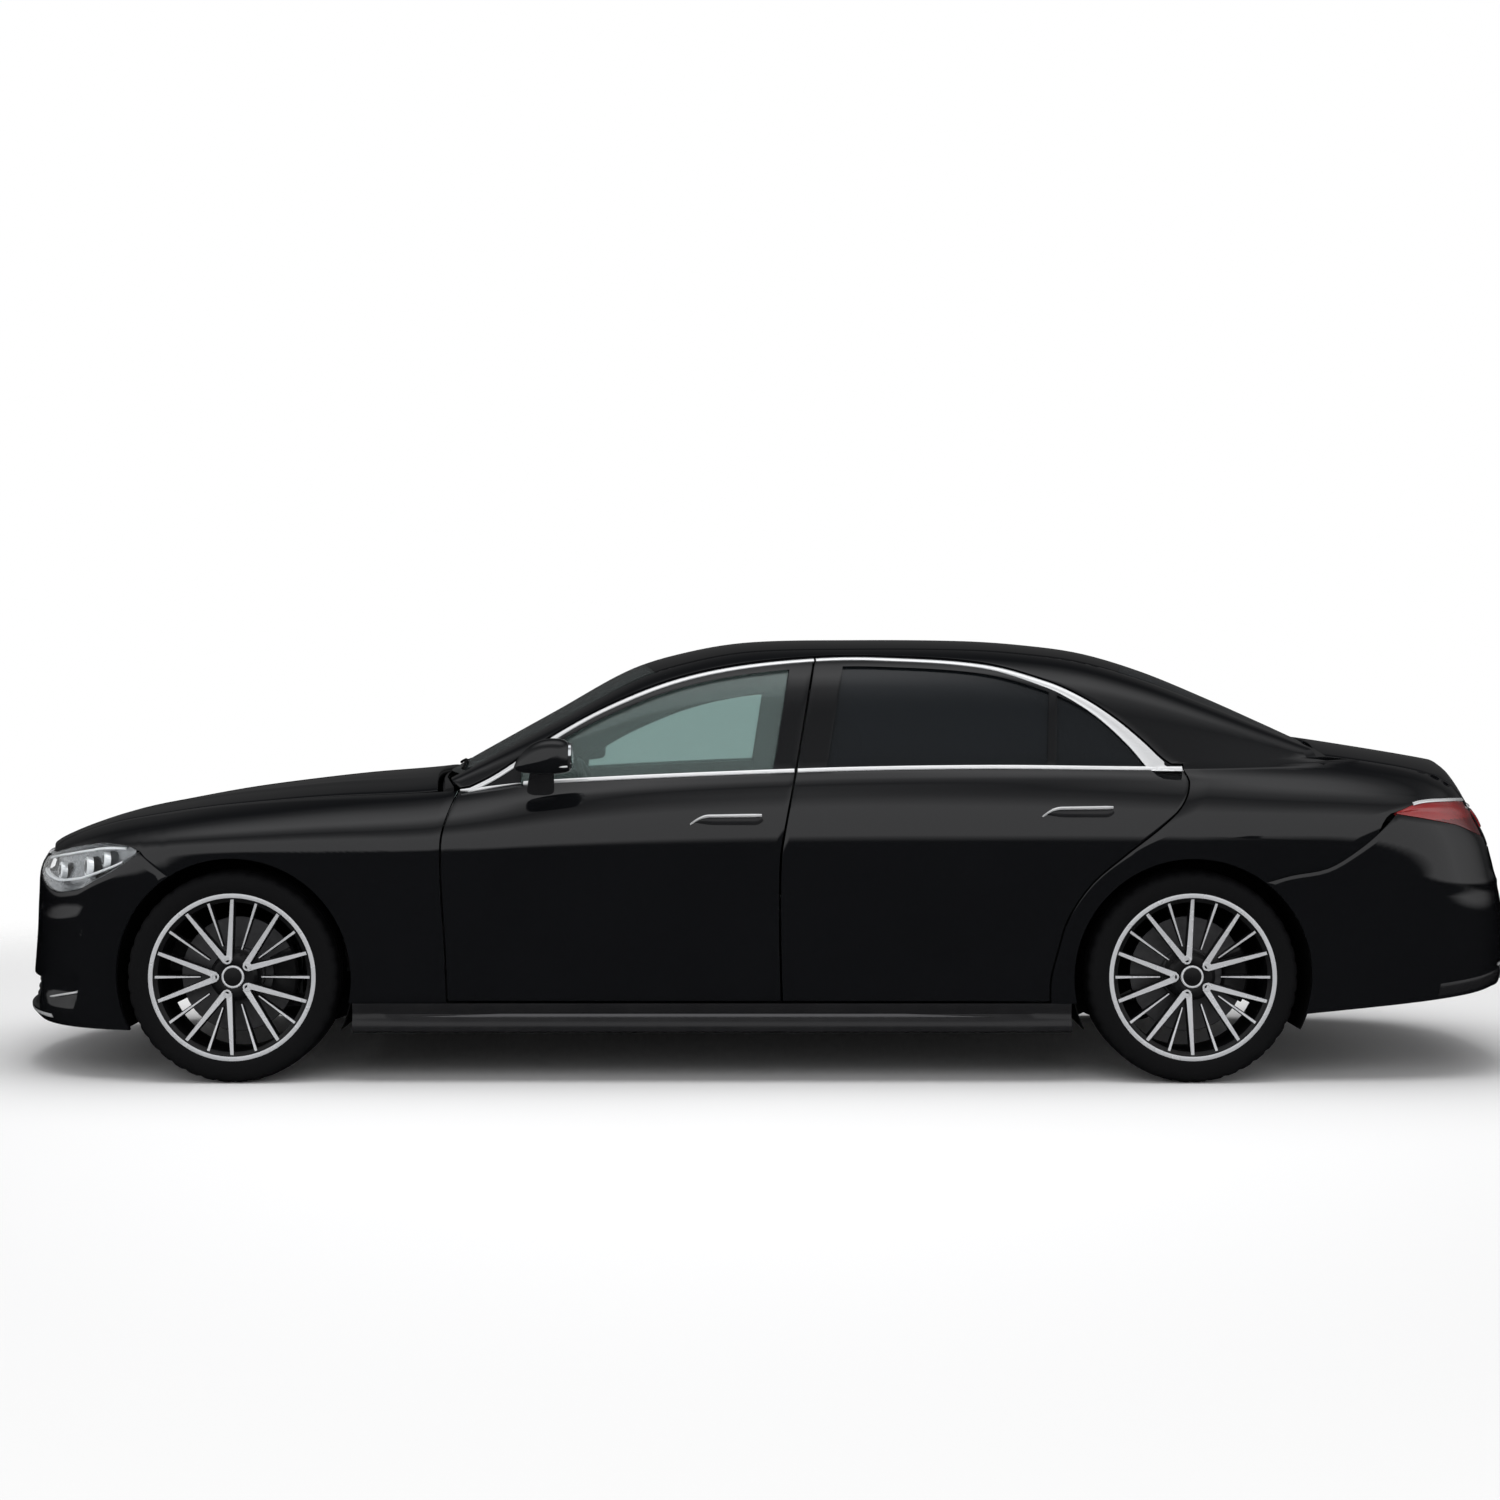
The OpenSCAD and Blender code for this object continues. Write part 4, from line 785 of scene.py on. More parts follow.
SLOT_FINISH = {
    "paint": "paint", "roof": "roof_gloss", "glass": "clear_glass", "dark_glass": "dark_glass",
    "steel": "steel", "cast": "cast", "pipe": "pipe", "sill": "black_trim", "liner": "lining",
    "bright": "chrome_painted_reflection", "lamp_clear": "lamp_cover", "lamp_red": "lamp_red", "leather": "leather",
    "trim": "soft_trim", "tyre": "rubber", "rim": "rim_dark",
}


def finish_solids():
    """Gives every solid that still shows a finish of its own kind."""
    for part in frame["record"]["subparts"]:
        obj = frame["nodes"][part["node"]]
        m = finishes[SLOT_FINISH[part["material_slot"]]]
        if not obj.material_slots:
            obj.data.materials.append(m)
        for slot in obj.material_slots:
            slot.material = m


# Body panels.
def door_columns(knots):
    return np.concatenate((refine(knots, 4), np.linspace(-89, -0.01, 7)))


LOW_ROWS = refine(DOOR_ROWS, 3)
WINDOW_ROWS = np.linspace(1, 2, 10)
STRIP_ROWS = np.linspace(2, 3, 4)
ALL_ROWS = np.concatenate((LOW_ROWS, WINDOW_ROWS[1:], STRIP_ROWS[1:]))
DOORS = {
    "front": (front_aft, front_fore, FRONT_COLS, 1, 9, -1),
    "rear": (rear_aft, rear_fore, REAR_COLS, 3, 14, 7),
}


def door_panel(kind):
    aft, fore, knots, first, last, bar = DOORS[kind]
    a, row = door_columns(knots)[:, None], ALL_ROWS[None, :]
    x, z = door_spots(a, row, aft, fore)
    outer = xyz(x, side_y(x, z), z)
    deep = np.where(a < 0, 16.0, np.interp(row, [0, 0.89, 0.95, 1, 1.34, 3], [110, 110, 100, 78, 42, 42]))
    xi = x + 0.6 * deep * np.clip(1 - (x - aft(z)) / 120, 0, 1)
    zi = z + 14 * np.clip(1 - row / 0.1, 0, 1)
    zi = zi - 0.5 * np.minimum(42, 0.4 * (z - belt(x))) * np.clip(row - 2, 0, 1)
    inner = xyz(xi, side_y(xi, zi) - deep, zi)
    nu, nv = x.shape
    i, j = np.arange(nu - 1)[:, None], np.arange(nv - 1)[None, :]
    nl = len(LOW_ROWS) - 1
    on_bar = (i >= 4 * bar) & (i < 4 * bar + 4) & (bar > 0)
    in_window = (j >= nl) & (j < nl + len(WINDOW_ROWS) - 1)
    hole = (i >= 4 * first) & (i < 4 * last) & ~on_bar & in_window
    obj = shell_panel(f"door_{kind}_left", outer, inner, hole, 1)
    place_on_doors(dress(obj, "paint", "soft_trim"), kind, "paint", f"{kind}_door")


def door_panes(kind):
    aft, fore, knots, first, last, bar = DOORS[kind]
    cols = refine(knots, 4)
    spans = [(first, last)] if bar < 0 else [(first, bar), (bar + 1, last)]
    made = []
    for k, (c0, c1) in enumerate(spans):
        a = cols[4 * c0:4 * c1 + 1][:, None]
        x, z = door_spots(a, WINDOW_ROWS[None, :], aft, fore)
        made.append(sheet_panel(f"pane_{kind}_{k}", xyz(x, side_y(x, z) - 12, z), 5, bevel=0))
    obj = join(made, f"pane_{kind}_left")
    slot = "glass" if kind == "front" else "dark_glass"
    place_on_doors(dress(obj, SLOT_FINISH[slot]), kind, slot, f"{kind}_glass")


def build_doors():
    for kind in DOORS:
        door_panel(kind)


def build_panes():
    for kind in DOORS:
        door_panes(kind)


def door_top_path(kind):
    aft, fore, knots = DOORS[kind][:3]
    x, z = door_spots(door_columns(knots), np.full(1, 3.0), aft, fore)
    return np.stack((x, z), 1)


def lid_spot(x):
    return np.stack((x, top_z(x, lid_edge(x) + HALF_GAP + 1)), -1)


def build_side_frames():
    b = LOW_ROWS
    x, z = door_spots(np.zeros(1), b, rear_aft, rear_fore)
    rear_top_path, front_top_path = door_top_path("rear"), door_top_path("front")
    path = np.concatenate((np.stack((x, z), 1), rear_top_path, front_top_path))
    gap = outline_offset(path, GAP)
    n = len(b)
    gap[0, 1] = SILL_TOP + SEAM
    steps = [0, 1, 2, 3, 3.5, 4, 4.33, 4.66, 5, 5.25, 5.5, 5.75, 6, 6.33, 6.66, 7, 7.5, 8, 9, 10, 10.5, 10.75,
             11]
    t = refine(np.arange(23.0), 4)
    row = np.interp(np.interp(t, np.arange(23), steps), np.arange(12), DOOR_ROWS)
    low = np.stack([np.interp(row, b, gap[:n, k]) for k in (0, 1)], 1)
    start = math.degrees(math.asin((SILL_TOP + SEAM - HUB) / ARCH))
    angles = [start, 0, 12, 26, 38, 50, 60, 70, 80, 94, 110, REAR_SEAM_ANGLE]
    arc = arch_point(REAR_AXLE, np.interp(t, np.arange(12), angles))
    s = np.interp(t, np.arange(11, 21), [0, 0.06, 0.147, 0.223, 0.28, 0.343, 0.42, 0.5, 0.58, 0.66])
    under = rear_top(np.minimum(s, REAR_LAMP_START)) + 1.5
    zs = mix(under, curve(REAR_HIGH, s) + SEAM, np.clip(t - 15, 0, 1))
    seam_line = np.stack((end_rear(s, zs)[0], zs), 1)
    lid_line = lid_spot(np.interp(t, [21, 22], [REAR_AXLE - 950, LID_CORNER]))
    f = np.clip(t - 20, 0, 1)[:, None]
    high = np.where((t <= 11)[:, None], arc, seam_line * (1 - f) + lid_line * f)
    extra = np.linspace(LID_CORNER, cabin(-0.16), 6)[1:-1]
    tops = path[n:]
    xs = curve(RAIL_LEAN, tops[:, 0])
    on_deck = lid_spot(np.minimum(xs, LID_END))
    rail = np.where((xs < LID_END)[:, None], on_deck, np.stack((xs, edge_z(xs)), 1))
    lows = np.concatenate((low, np.repeat(gap[n - 1:n], len(extra), 0), gap[n:]))
    highs = np.concatenate((high, lid_spot(extra), rail))
    v = np.linspace(0, 1, 15)[None, :, None]
    p = lows[:, None, :] * (1 - v) + highs[:, None, :] * v
    wheel = np.array([REAR_AXLE, HUB])
    q0, q1 = lows[:len(t)] - wheel, highs[:len(t)] - wheel
    far = mix(np.linalg.norm(q0, axis=1)[:, None], np.linalg.norm(q1, axis=1)[:, None], v[..., 0])
    turn = mix(np.arctan2(q0[:, 1], q0[:, 0])[:, None], np.arctan2(q1[:, 1], q1[:, 0])[:, None], v[..., 0])
    round_wheel = wheel + far[..., None] * np.stack((np.cos(turn), np.sin(turn)), -1)
    p[:len(t)] = mix(round_wheel, p[:len(t)], np.clip((t - 11.5) / 3, 0, 1)[:, None, None])
    d = p - wheel
    r = np.linalg.norm(d, axis=-1, keepdims=True)
    p = np.where(r < ARCH, wheel + d * ARCH / np.maximum(r, 1), p)
    pts = side_points(p)
    on_lid = np.clip((LID_FADE - highs[:, 0]) / 110, 0, 1)
    on_lid[:np.sum(t < 21)] = 0
    to_lid = lid_edge(highs[:, 0]) + HALF_GAP + 1 - pts[:, -1, 1]
    pts[..., 1] += (on_lid * to_lid)[:, None] * np.clip(2 * v[..., 0] - 1, 0, 1) ** 2
    obj = sheet_panel("side_frame_left", pts, 16, bevel=1.5)
    place_pair(dress(obj, "paint"), "side_frame_panels", "chassis", "paint", "side_frames")


def build_fenders():
    t = refine(np.arange(18.0), 4)
    start = math.degrees(math.asin((HUB - SILL_TOP - SEAM) / ARCH)) + 180
    angles = [start, 180, 160, 140, 122, 106, 92, 80, 69, SEAM_ANGLE]
    first = np.array([front_edge(DOOR_BOTTOM) + HALF_GAP + 1, SILL_TOP + SEAM])
    arc = arch_point(FRONT_AXLE, np.interp(t, np.arange(1, 11), angles))
    s = np.interp(t, np.arange(10, 18), [0] + LAMP_COLS[:7])
    zs = np.where(s < LAMP_START, bumper_top(s), curve(LAMP_HIGH, s)) + SEAM
    seam_line = np.stack((end_front(s, zs)[0], zs), 1)
    low = np.where((t <= 10)[:, None], arc, seam_line)
    low = np.where((t < 1)[:, None], first + (arch_point(FRONT_AXLE, start) - first) * t[:, None], low)
    ks = [0, 0.07, 0.16, 0.24, 0.32, 0.39, 0.46, 0.53, 0.58, 0.63, 0.68, 0.74, 0.79, 0.85, 0.9, 0.95, 0.975, 1]
    x1 = mix(FRONT_AXLE - 697, FRONT_AXLE + 690, np.interp(t, np.arange(18), ks))
    beside_hood = hood_edge(x1) + HALF_GAP + 2 + np.maximum(0, x1 - FRONT_AXLE - 560) / 26
    high = np.stack((x1, top_z(x1, beside_hood)), 1)
    v = refine([0, 0.14, 0.28, 0.42, 0.55, 0.64, 0.72, 0.8, 0.9, 1], 3)[None, :, None]
    p = low[:, None, :] * (1 - v) + high[:, None, :] * v
    edge = front_edge(p[0, :, 1]) + HALF_GAP + 1
    for i in range(4):
        p[i, :, 0] = mix(edge, p[4, :, 0], i / 4) if i else edge
    y = lower_y(p[..., 0], p[..., 1]) + crease(p[..., 0], p[..., 1])
    obj = sheet_panel("fender_left", xyz(p[..., 0], y, p[..., 1]), 8, bevel=1.2)
    place_pair(dress(obj, "paint"), "front_fender_panels", "chassis", "paint", "front_fenders")


def build_hood():
    t = refine([0, 0.1, 0.25, 0.4, 0.55, 0.7, 0.8, 0.88, 0.94, 1], 5)[:, None]
    c = np.linspace(1, -1, 49)[None, :]
    x = mix(HOOD_REAR - 45 * c * c, HOOD_FRONT - 90 * c * c, t)
    y = c * (hood_edge(x) - HALF_GAP - 1)
    dome = 3.5 * np.exp(-((np.abs(c) - mix(0.72, 0.55, t)) / 0.045) ** 2) * between(t, 0, 0.2, 0.95, 0.3)
    points = xyz(x, y, top_z(x, y) + dome)
    obj = sheet_panel("hood_panel", points, 28, inside=FRONT_INSIDE, inner_slot=1)
    place(dress(obj, "paint", "lining"), "hood_body", "paint", "hood")


def build_trunk_lid():
    c = np.linspace(1, -1, 41)[None, :]
    zs = refine([LID_LOW, 840, 900, 960, 1010], 4)[:, None]
    half = np.interp(zs, [947, 957, 983, 1011], lid_edge(np.array([-2440.0, -2410.0, -2380.0, -2330.0])))
    back = xyz(tail_face_x(c * half, zs), c * half, zs)
    t = refine([0, 0.12, 0.3, 0.55, 0.8, 1], 5)[:, None]
    rim = tail_face_x(c * LID_FACE_HALF, 1030.0) + 22 + 14 * c * c
    x = mix(rim, LID_FRONT + 40 * c * c, t)
    y = c * lid_edge(x)
    deck = xyz(x, y, top_z(x, y))
    f = np.array([0.35, 0.7])[:, None, None]
    lip = mix(back[-1:], deck[:1], f) + np.array([-3, 0, 3]) * (f * (1 - f) * 4)
    points = np.concatenate((back, lip, deck))
    obj = sheet_panel("trunk_lid_panel", points, 24, inside=REAR_INSIDE, inner_slot=1)
    place(dress(obj, "paint", "lining"), "trunk_body", "paint", "trunk_lid")


def crown_sheet(name, x0, x1, b0, b1, depth):
    """A sheet of the roof between two stations, whose ends are bowed by b0 and b1."""
    c, t = np.linspace(1, -1, 41)[None, :], np.linspace(0, 1, 44)[:, None]
    x = mix(x0 - b0 * c * c, x1 - b1 * c * c, t)
    y = c * (side_y(x, edge_z(x)) - SEAM - 0.9)
    return sheet_panel(name, xyz(x, y, roof_z(x, y)), depth, inside=(x.mean(), 0, 300), bevel=1.0)


def build_roof_and_screens():
    rows = (
        ("roof_skin", ROOF_BACK + SEAM, SCREEN_TOP - SEAM, -60, 60, 22, "roof_gloss", "roof", "roof_panel"),
        ("windscreen_glass", SCREEN_TOP, cabin(0.8), 60, 95, 6, "screen_glass", "glass", "windscreen"),
        ("rear_window_glass", REAR_AXLE - 484, ROOF_BACK, -40, -60, 6, "dark_glass", "dark_glass",
         "rear_window"),
    )
    for *sizes, look, slot, node in rows:
        place(dress(crown_sheet(*sizes), look), "chassis", slot, node)


def chassis_sheet(name, points, depth, inside, look, slot):
    """A thin sheet on the chassis, with plain edges."""
    place(dress(sheet_panel(name, points, depth, inside=inside, bevel=0), look), "chassis", slot)


def build_front_bumper():
    k = both_ways(refine([0, 0.08] + LAMP_COLS + [GRILLE_FROM, 0.84, 0.92, 1], 4))[:, None]
    s = 1 - np.abs(k)
    r = refine(np.arange(7.0), 4)[None, :]
    low = np.interp(r, [0, 1, 2, 3], [172, 216, 326, GRILLE_LOW])
    z = np.where(r <= 3, low, mix(GRILLE_LOW, bumper_top(s) - SEAM, (r - 3) / 3))
    m, j = np.minimum(s[:-1], s[1:]), r[:, :-1]
    hole = ((m >= GRILLE_FROM - 1e-6) & (j >= 3)) | ((m >= 0.64) & (j >= 1) & (j < 2))
    ridge = -9 * np.exp(-((z - 520 - 160 * (0.6 - s)) / 38) ** 2) * between(s, 0.36, 0.2, 0.74, 0.06)
    ridge = ridge + 16 * np.exp(-((z - 300) / 44) ** 4) * between(s, 0.46, 0.04, 0.62, 0.04)
    obj = sheet_panel("front_bumper_skin", face(end_front, k, z, ridge), 14, hole, FRONT_INSIDE)
    place(dress(obj, "paint"), "chassis", "paint", "front_bumper")
    points = face(end_front, np.linspace(-0.35, 0.35, 61)[:, None], np.linspace(208, 334, 8)[None, :], 46)
    chassis_sheet("lower_intake_mesh", points, 4, FRONT_INSIDE, "mesh_insert", "liner")
    wide = np.linspace(-0.34, 0.34, 61)
    bars = [end_bar(f"intake_bar_{n}", end_front, wide, z, 7, 14, 20) for n, z in enumerate((246, 272, 298))]
    place(dress(join(bars, "intake_bars"), "black_trim"), "chassis", "sill")
    blades = [end_bar("front_lip_trim", end_front, np.linspace(-0.42, 0.42, 97), 202.0, 13, 4, -2)]
    for n, side in enumerate((-1, 1)):
        kb = side * np.linspace(0.39, 0.53, 21)
        blades.append(end_bar(f"inlet_blade_{n}", end_front, kb, np.linspace(262, 300, 21), 8, 10, 6))
    place(dress(join(blades, "front_bumper_trims"), "chrome_painted_reflection"), "chassis", "bright")
    dots, o = [], oval(20, 2.0)
    steps = ((13, 2), (13, -1.2), (11, -1.8), (9.5, -0.6), (0.3, -0.9))
    for n, (kc, zc) in enumerate(((-0.55, 498), (0.55, 498), (-0.32, 560), (0.32, 560))):
        rings = np.stack([face(end_front, kc + o[:, 0] * q / 900, zc + o[:, 1] * q, d) for q, d in steps])
        dots.append(tube(f"sensor_{n}", rings, angle=30))
    place(dress(join(dots, "parking_sensors"), "black_trim"), "chassis", "sill")


def end_bar(name, end, k, z, tall, deep, sunk):
    """A bar across an end face with a rounded front."""
    k, z = np.broadcast_arrays(k, np.asarray(z, float))
    shape = [(-0.5, 1), (-0.5, 0.3), (-0.3, 0.05), (0, 0), (0.3, 0.05), (0.5, 0.3), (0.5, 1)]
    rings = np.stack([face(end, k, z + v * tall, sunk + d * deep) for v, d in shape], 1)
    return tube(name, rings, angle=50)


def build_grille():
    bars = []
    k = np.linspace(-1, 1, 61) * (1 - GRILLE_FROM - 0.012)
    for n, z in enumerate((430, 478, 526, 574, 622, 670)):
        bars.append(end_bar(f"louvre_{n}", end_front, k, z, 11, 26, 6))
    for n, z in enumerate((GRILLE_LOW + 10, GRILLE_TOP - 8)):
        bars.append(end_bar(f"surround_{n}", end_front, k, z, 18, 30, 0))
    shape = [(0, 30), (0, 8), (0.006, 1), (0.014, 0), (0.022, 2), (0.026, 8), (0.026, 30)]
    z = np.linspace(GRILLE_LOW + 2, GRILLE_TOP - 1, 40)
    for n, side in enumerate((-1, 1)):
        edge = side * (1 - GRILLE_FROM - 0.004)
        rings = np.stack([face(end_front, edge - side * a, z, d) for a, d in shape], 1)
        bars.append(tube(f"surround_side_{n}", rings, angle=50))
    place(dress(join(bars, "grille_bars"), "chrome_painted_reflection"), "chassis", "bright", "grille")
    kk, zz = np.linspace(-0.24, 0.24, 41)[:, None], np.linspace(GRILLE_LOW, GRILLE_TOP - 6, 12)[None, :]
    chassis_sheet("grille_backing", face(end_front, kk, zz, 44), 4, FRONT_INSIDE, "mesh_insert", "liner")


def front_patch(s, v, d, low_add=0.0, high_add=0.0):
    """Points of the left headlamp; v runs from its lower to its upper edge."""
    return face(end_front, s - 1, mix(curve(LAMP_LOW, s) + low_add, curve(LAMP_HIGH, s) - high_add, v), d)


def rear_patch(s, v, d, low_add=0.0, high_add=0.0):
    """Points of the right tail lamp, counted like those of the headlamp."""
    return face(end_rear, 1 - s, mix(curve(REAR_LOW, s) + low_add, curve(REAR_HIGH, s) - high_add, v), d)


def build_headlamps():
    s = refine(LAMP_COLS, 4)[:, None]
    v = np.linspace(0, 1, 13)[None, :]
    cover = sheet_panel("headlamp_cover_left", front_patch(s, v, 2, 2.4, 1.5), 3, inside=FRONT_INSIDE, bevel=0)
    place_pair(dress(cover, "lamp_cover"), "headlamp_covers", "chassis", "lamp_clear", "headlamps")
    u = np.linspace(0.2, 0.72, 41)[:, None]
    w = np.linspace(0, 1, 17)[None, :]
    sink = 10 + 34 * np.sin(np.pi * w) ** 0.6 * np.clip((u - 0.17) / 0.2, 0, 1)
    bowl = sheet_panel("lamp_bowl_left", front_patch(u, w, sink, 3, 2), 3, inside=FRONT_INSIDE, bevel=0)
    parts = [dress(bowl, "lamp_silver")]
    for n, (sc, vc, r) in enumerate(((0.60, 0.48, 30), (0.50, 0.50, 34), (0.40, 0.55, 26))):
        parts.append(lens(f"lamp_lens_{n}", front_patch(sc, vc, 26), r))
    for n, (va, vb) in enumerate(((0.86, 0.86), (0.20, 0.30))):
        su = np.linspace(0.27, 0.70, 33)
        z0 = mix(curve(LAMP_LOW, su), curve(LAMP_HIGH, su), np.linspace(va, vb, 33))
        strip = end_bar(f"lamp_line_{n}", end_front, su - 1, z0, 9, 12, 8)
        parts.append(dress(strip, "lamp_white"))
    place_pair(join(parts, "headlamp_inside_left"), "headlamp_insides", "chassis", "bright")


def lens(name, at, r):
    """A round lens in a ring, facing forward and outward."""
    axis = unit(np.array([0.9, 0.42, 0.05]))
    e1 = unit(np.cross(axis, [0, 0, 1.0]))
    e2 = np.cross(axis, e1)
    a = np.linspace(0, 2 * np.pi, 28, endpoint=False)
    ring = np.cos(a)[:, None] * e1 + np.sin(a)[:, None] * e2
    prof = [(1.0, -14), (1.0, 4), (0.92, 6), (0.84, 4), (0.80, 2), (0.68, 7), (0.45, 11), (0.2, 13),
            (0.03, 13.5)]
    rings = np.stack([at + ring * r * q + axis * h for q, h in prof])
    obj = tube(name, rings, angle=45)
    middle = (at + axis * 8) * MM
    dress(obj, "chrome_painted_reflection", "screen")
    second_finish(obj, lambda p: np.linalg.norm(np.array(p.center) - middle) < r * 0.74 * MM)
    return obj


def build_tail_lamps():
    s, v = np.linspace(0.344, 0.657, 37)[:, None], np.linspace(0, 1, 15)[None, :]
    proud = 2 - 5 * np.clip((v - 0.5) * 4, 0, 1) * np.clip((0.85 - v) * 6, 0, 1)
    obj = sheet_panel("tail_lamp_half", rear_patch(s, v, proud, 1.5, 1.5), 24, inside=REAR_INSIDE, bevel=1.5)
    dress(obj, "lamp_red", "lamp_red_deep")
    second_finish(obj, lambda p: p.center[2] / MM < 880 and abs(p.normal[2]) < 0.9)
    place_pair(obj, "tail_lamp_covers", "chassis", "lamp_red", "tail_lamps")
    s, v = np.linspace(0.315, 0.68, 25)[:, None], np.linspace(0, 1, 7)[None, :]
    back = sheet_panel("lamp_backing_half", rear_patch(s, v, 34, -26, -22), 4, inside=REAR_INSIDE, bevel=0)
    place_pair(dress(back, "lining"), "lamp_backings", "chassis", "liner")
    k = 1 - np.linspace(0.40, 0.662, 33)
    trim = end_bar("tail_trim_left", end_rear, -k, curve(REAR_HIGH, 1 - k) + 2, 10, 6, -3)
    place_pair(dress(trim, "chrome_painted_reflection"), "tail_lamp_trims", "chassis", "bright")
    y = np.linspace(0.45, 0.97, 33)[:, None] * LID_FACE_HALF
    z = np.linspace(842, 902, 9)[None, :]
    x = tail_face_x(y, z) - 5 - 3 * np.sin(np.pi * (z - 842) / 60)
    lamp = sheet_panel("lid_lamp_left", xyz(x, y, z), 6, inside=REAR_INSIDE, bevel=1.5)
    place_pair(dress(lamp, "lamp_red"), "lid_lamp_covers", "trunk_body", "lamp_red", "trunk_lamps")
    y = np.linspace(-0.97, 0.97, 81) * LID_FACE_HALF
    shape = [(-6, 3), (-6, -3), (-3, -6), (0, -7), (3, -6), (6, -3), (6, 3)]
    rings = np.stack([xyz(tail_face_x(y, 915.0 + h) + d, y, 915.0 + h) for h, d in shape], 1)
    place(dress(tube("lid_trim", rings, angle=50), "chrome_painted_reflection"), "trunk_body", "bright")


def build_rear_bumper():
    cols = refine([0, 0.06, 0.147, 0.223, 0.28, 0.343, 0.42, 0.5, 0.58, 0.66, 0.68, 0.8, 0.9, 1], 4)
    k = both_ways(cols)[:, None]
    s = 1 - np.abs(k)
    r = np.linspace(0, 1, 29)[None, :]
    z = mix(mix(232, 300, np.minimum(1, s / 0.6)), rear_top(s) - SEAM, r)
    ridge = -4 * np.exp(-((z - 640 - 60 * (1 - s)) / 14) ** 2) * np.clip((s - 0.35) / 0.2, 0, 1)
    obj = sheet_panel("rear_bumper_skin", face(end_rear, k, z, ridge), 14, inside=REAR_INSIDE)
    place(dress(obj, "paint"), "chassis", "paint", "rear_bumper")
    kk = np.linspace(-0.62, 0.62, 121)
    low = mix(232, 300, np.minimum(1, (1 - np.abs(kk)) / 0.6))
    apron = end_bar("rear_apron", end_rear, kk, low + 34, 60, 30, -3)
    place(dress(apron, "black_trim"), "chassis", "sill")
    kt = np.linspace(-0.36, 0.36, 81)
    trim = end_bar("rear_apron_trim", end_rear, kt, 372.0, 9, 5, -4)
    place(dress(trim, "chrome_painted_reflection"), "chassis", "bright")
    pipes = []
    for n, side in enumerate((-1, 1)):
        k0 = np.linspace(0.16, 0.30, 21) * side
        pipes.append(dress(end_bar(f"outlet_{n}", end_rear, k0, 336.0, 44, 10, -6), "chrome_painted_reflection"))
        pipes.append(dress(end_bar(f"outlet_in_{n}", end_rear, k0[2:-2], 336.0, 28, 4, -8), "lining"))
    place(join(pipes, "exhaust_outlets"), "chassis", "bright")


def build_sills():
    x = np.linspace(REAR_AXLE + ARCH + 8, FRONT_AXLE - ARCH - 4, 81)
    f = np.clip((x - x[0]) / 260, 0, 1) * np.clip((x[-1] - x) / 200, 0, 1)
    shape = [
        (800, 180), (HALF - 62, 168), (HALF - 40, 170), (HALF - 30, 178), (HALF - 27, 196), (HALF - 34, 214),
        (HALF - 40, 232), (HALF - 36, 248), (HALF - 30, 260), (HALF - 30, 268), (800, 268),
    ]
    rings = np.stack([xyz(x, y + (6 * f if z < 215 and y > 900 else 0), z) for y, z in shape], 1)
    left = dress(tube("sill_left", rings, angle=40), "black_trim")
    place_pair(left, "sill_covers", "chassis", "sill", "side_sills")
    xs = np.linspace(-760, 1180, 61)
    w = 10 * np.minimum(1, np.minimum(xs + 764, 1184 - xs) / 300) + 0.6
    prof = [(-1, -3), (-1, 1), (-0.5, 3), (0, 3.6), (0.5, 3), (1, 1), (1, -3)]
    rings = np.stack([xyz(xs, HALF - 36 + d, 223 + v * w) for v, d in prof], 1)
    strip = dress(tube("sill_trim_left", rings, angle=50), "disc_steel")
    place_pair(strip, "sill_trims", "chassis", "bright")


def build_housings():
    """Dark walls and skirts that close the wheel housings behind the tyres."""
    made = []
    for axle, wall in ((FRONT_AXLE, 477.0), (REAR_AXLE, 604.0)):
        a = np.radians(np.linspace(-26, 206, 61))[:, None]
        r = np.linspace(30, 404, 9)[None, :] * np.where(np.sin(a) > 0.2, 1.06, 1.0)
        x, z = axle + r * np.cos(a), HUB + r * np.sin(a)
        made.append(sheet_panel("housing_wall", xyz(x, wall, z), 4, inside=(axle, 0, HUB), bevel=0))
        x, z = axle + 405 * np.cos(a), HUB + 405 * np.sin(a)
        y = mix(wall, lower_y(x, z) - 9, np.linspace(0, 1, 9)[None, :])
        made.append(sheet_panel("housing_skirt", xyz(x, y, z), 3, inside=(axle, y.mean(), HUB), bevel=0))
    place_pair(dress(join(made, "housing_left"), "lining"), "wheel_housings", "chassis", "liner")


def build_seals():
    """Door seals behind the shut lines."""
    x, z = door_spots(np.zeros(1), LOW_ROWS, rear_aft, rear_fore)
    path = np.concatenate((np.stack((x, z), 1), door_top_path("rear"), door_top_path("front")))
    pts = np.stack([side_points(outline_offset(path, d), -26) for d in (-3.0, 10.0, 24.0)], 1)
    left = dress(sheet_panel("door_seal_left", pts, 4, bevel=0), "lining")
    place_pair(left, "door_seals", "chassis", "liner")
    path = door_top_path("front")
    path = path[path[:, 0] < 900]
    band = np.stack([side_points(outline_offset(path, -d), -58) for d in (30.0, 66.0, 104.0)], 1)
    a, row = np.linspace(0.06, 0.14, 4)[:, None], np.linspace(1, 2, 10)[None, :]
    x, z = door_spots(a, row, front_aft, front_fore)
    post = xyz(x, side_y(x, z) - 58, z)
    trims = [sheet_panel(f"window_surround_{n}", q, 10, bevel=1.5) for n, q in enumerate((band, post))]
    place_on_doors(dress(join(trims, "window_surround_left"), "lining"), "front", "trim")


# Bright trims, handles and mirrors.
TRIM_WIDTH = [
    (-1400, 66), (-1340, 58), (-1260, 44), (-1150, 31), (-1000, 22), (-800, 18), (600, 17), (1000, 15),
    (1036, 6),
]


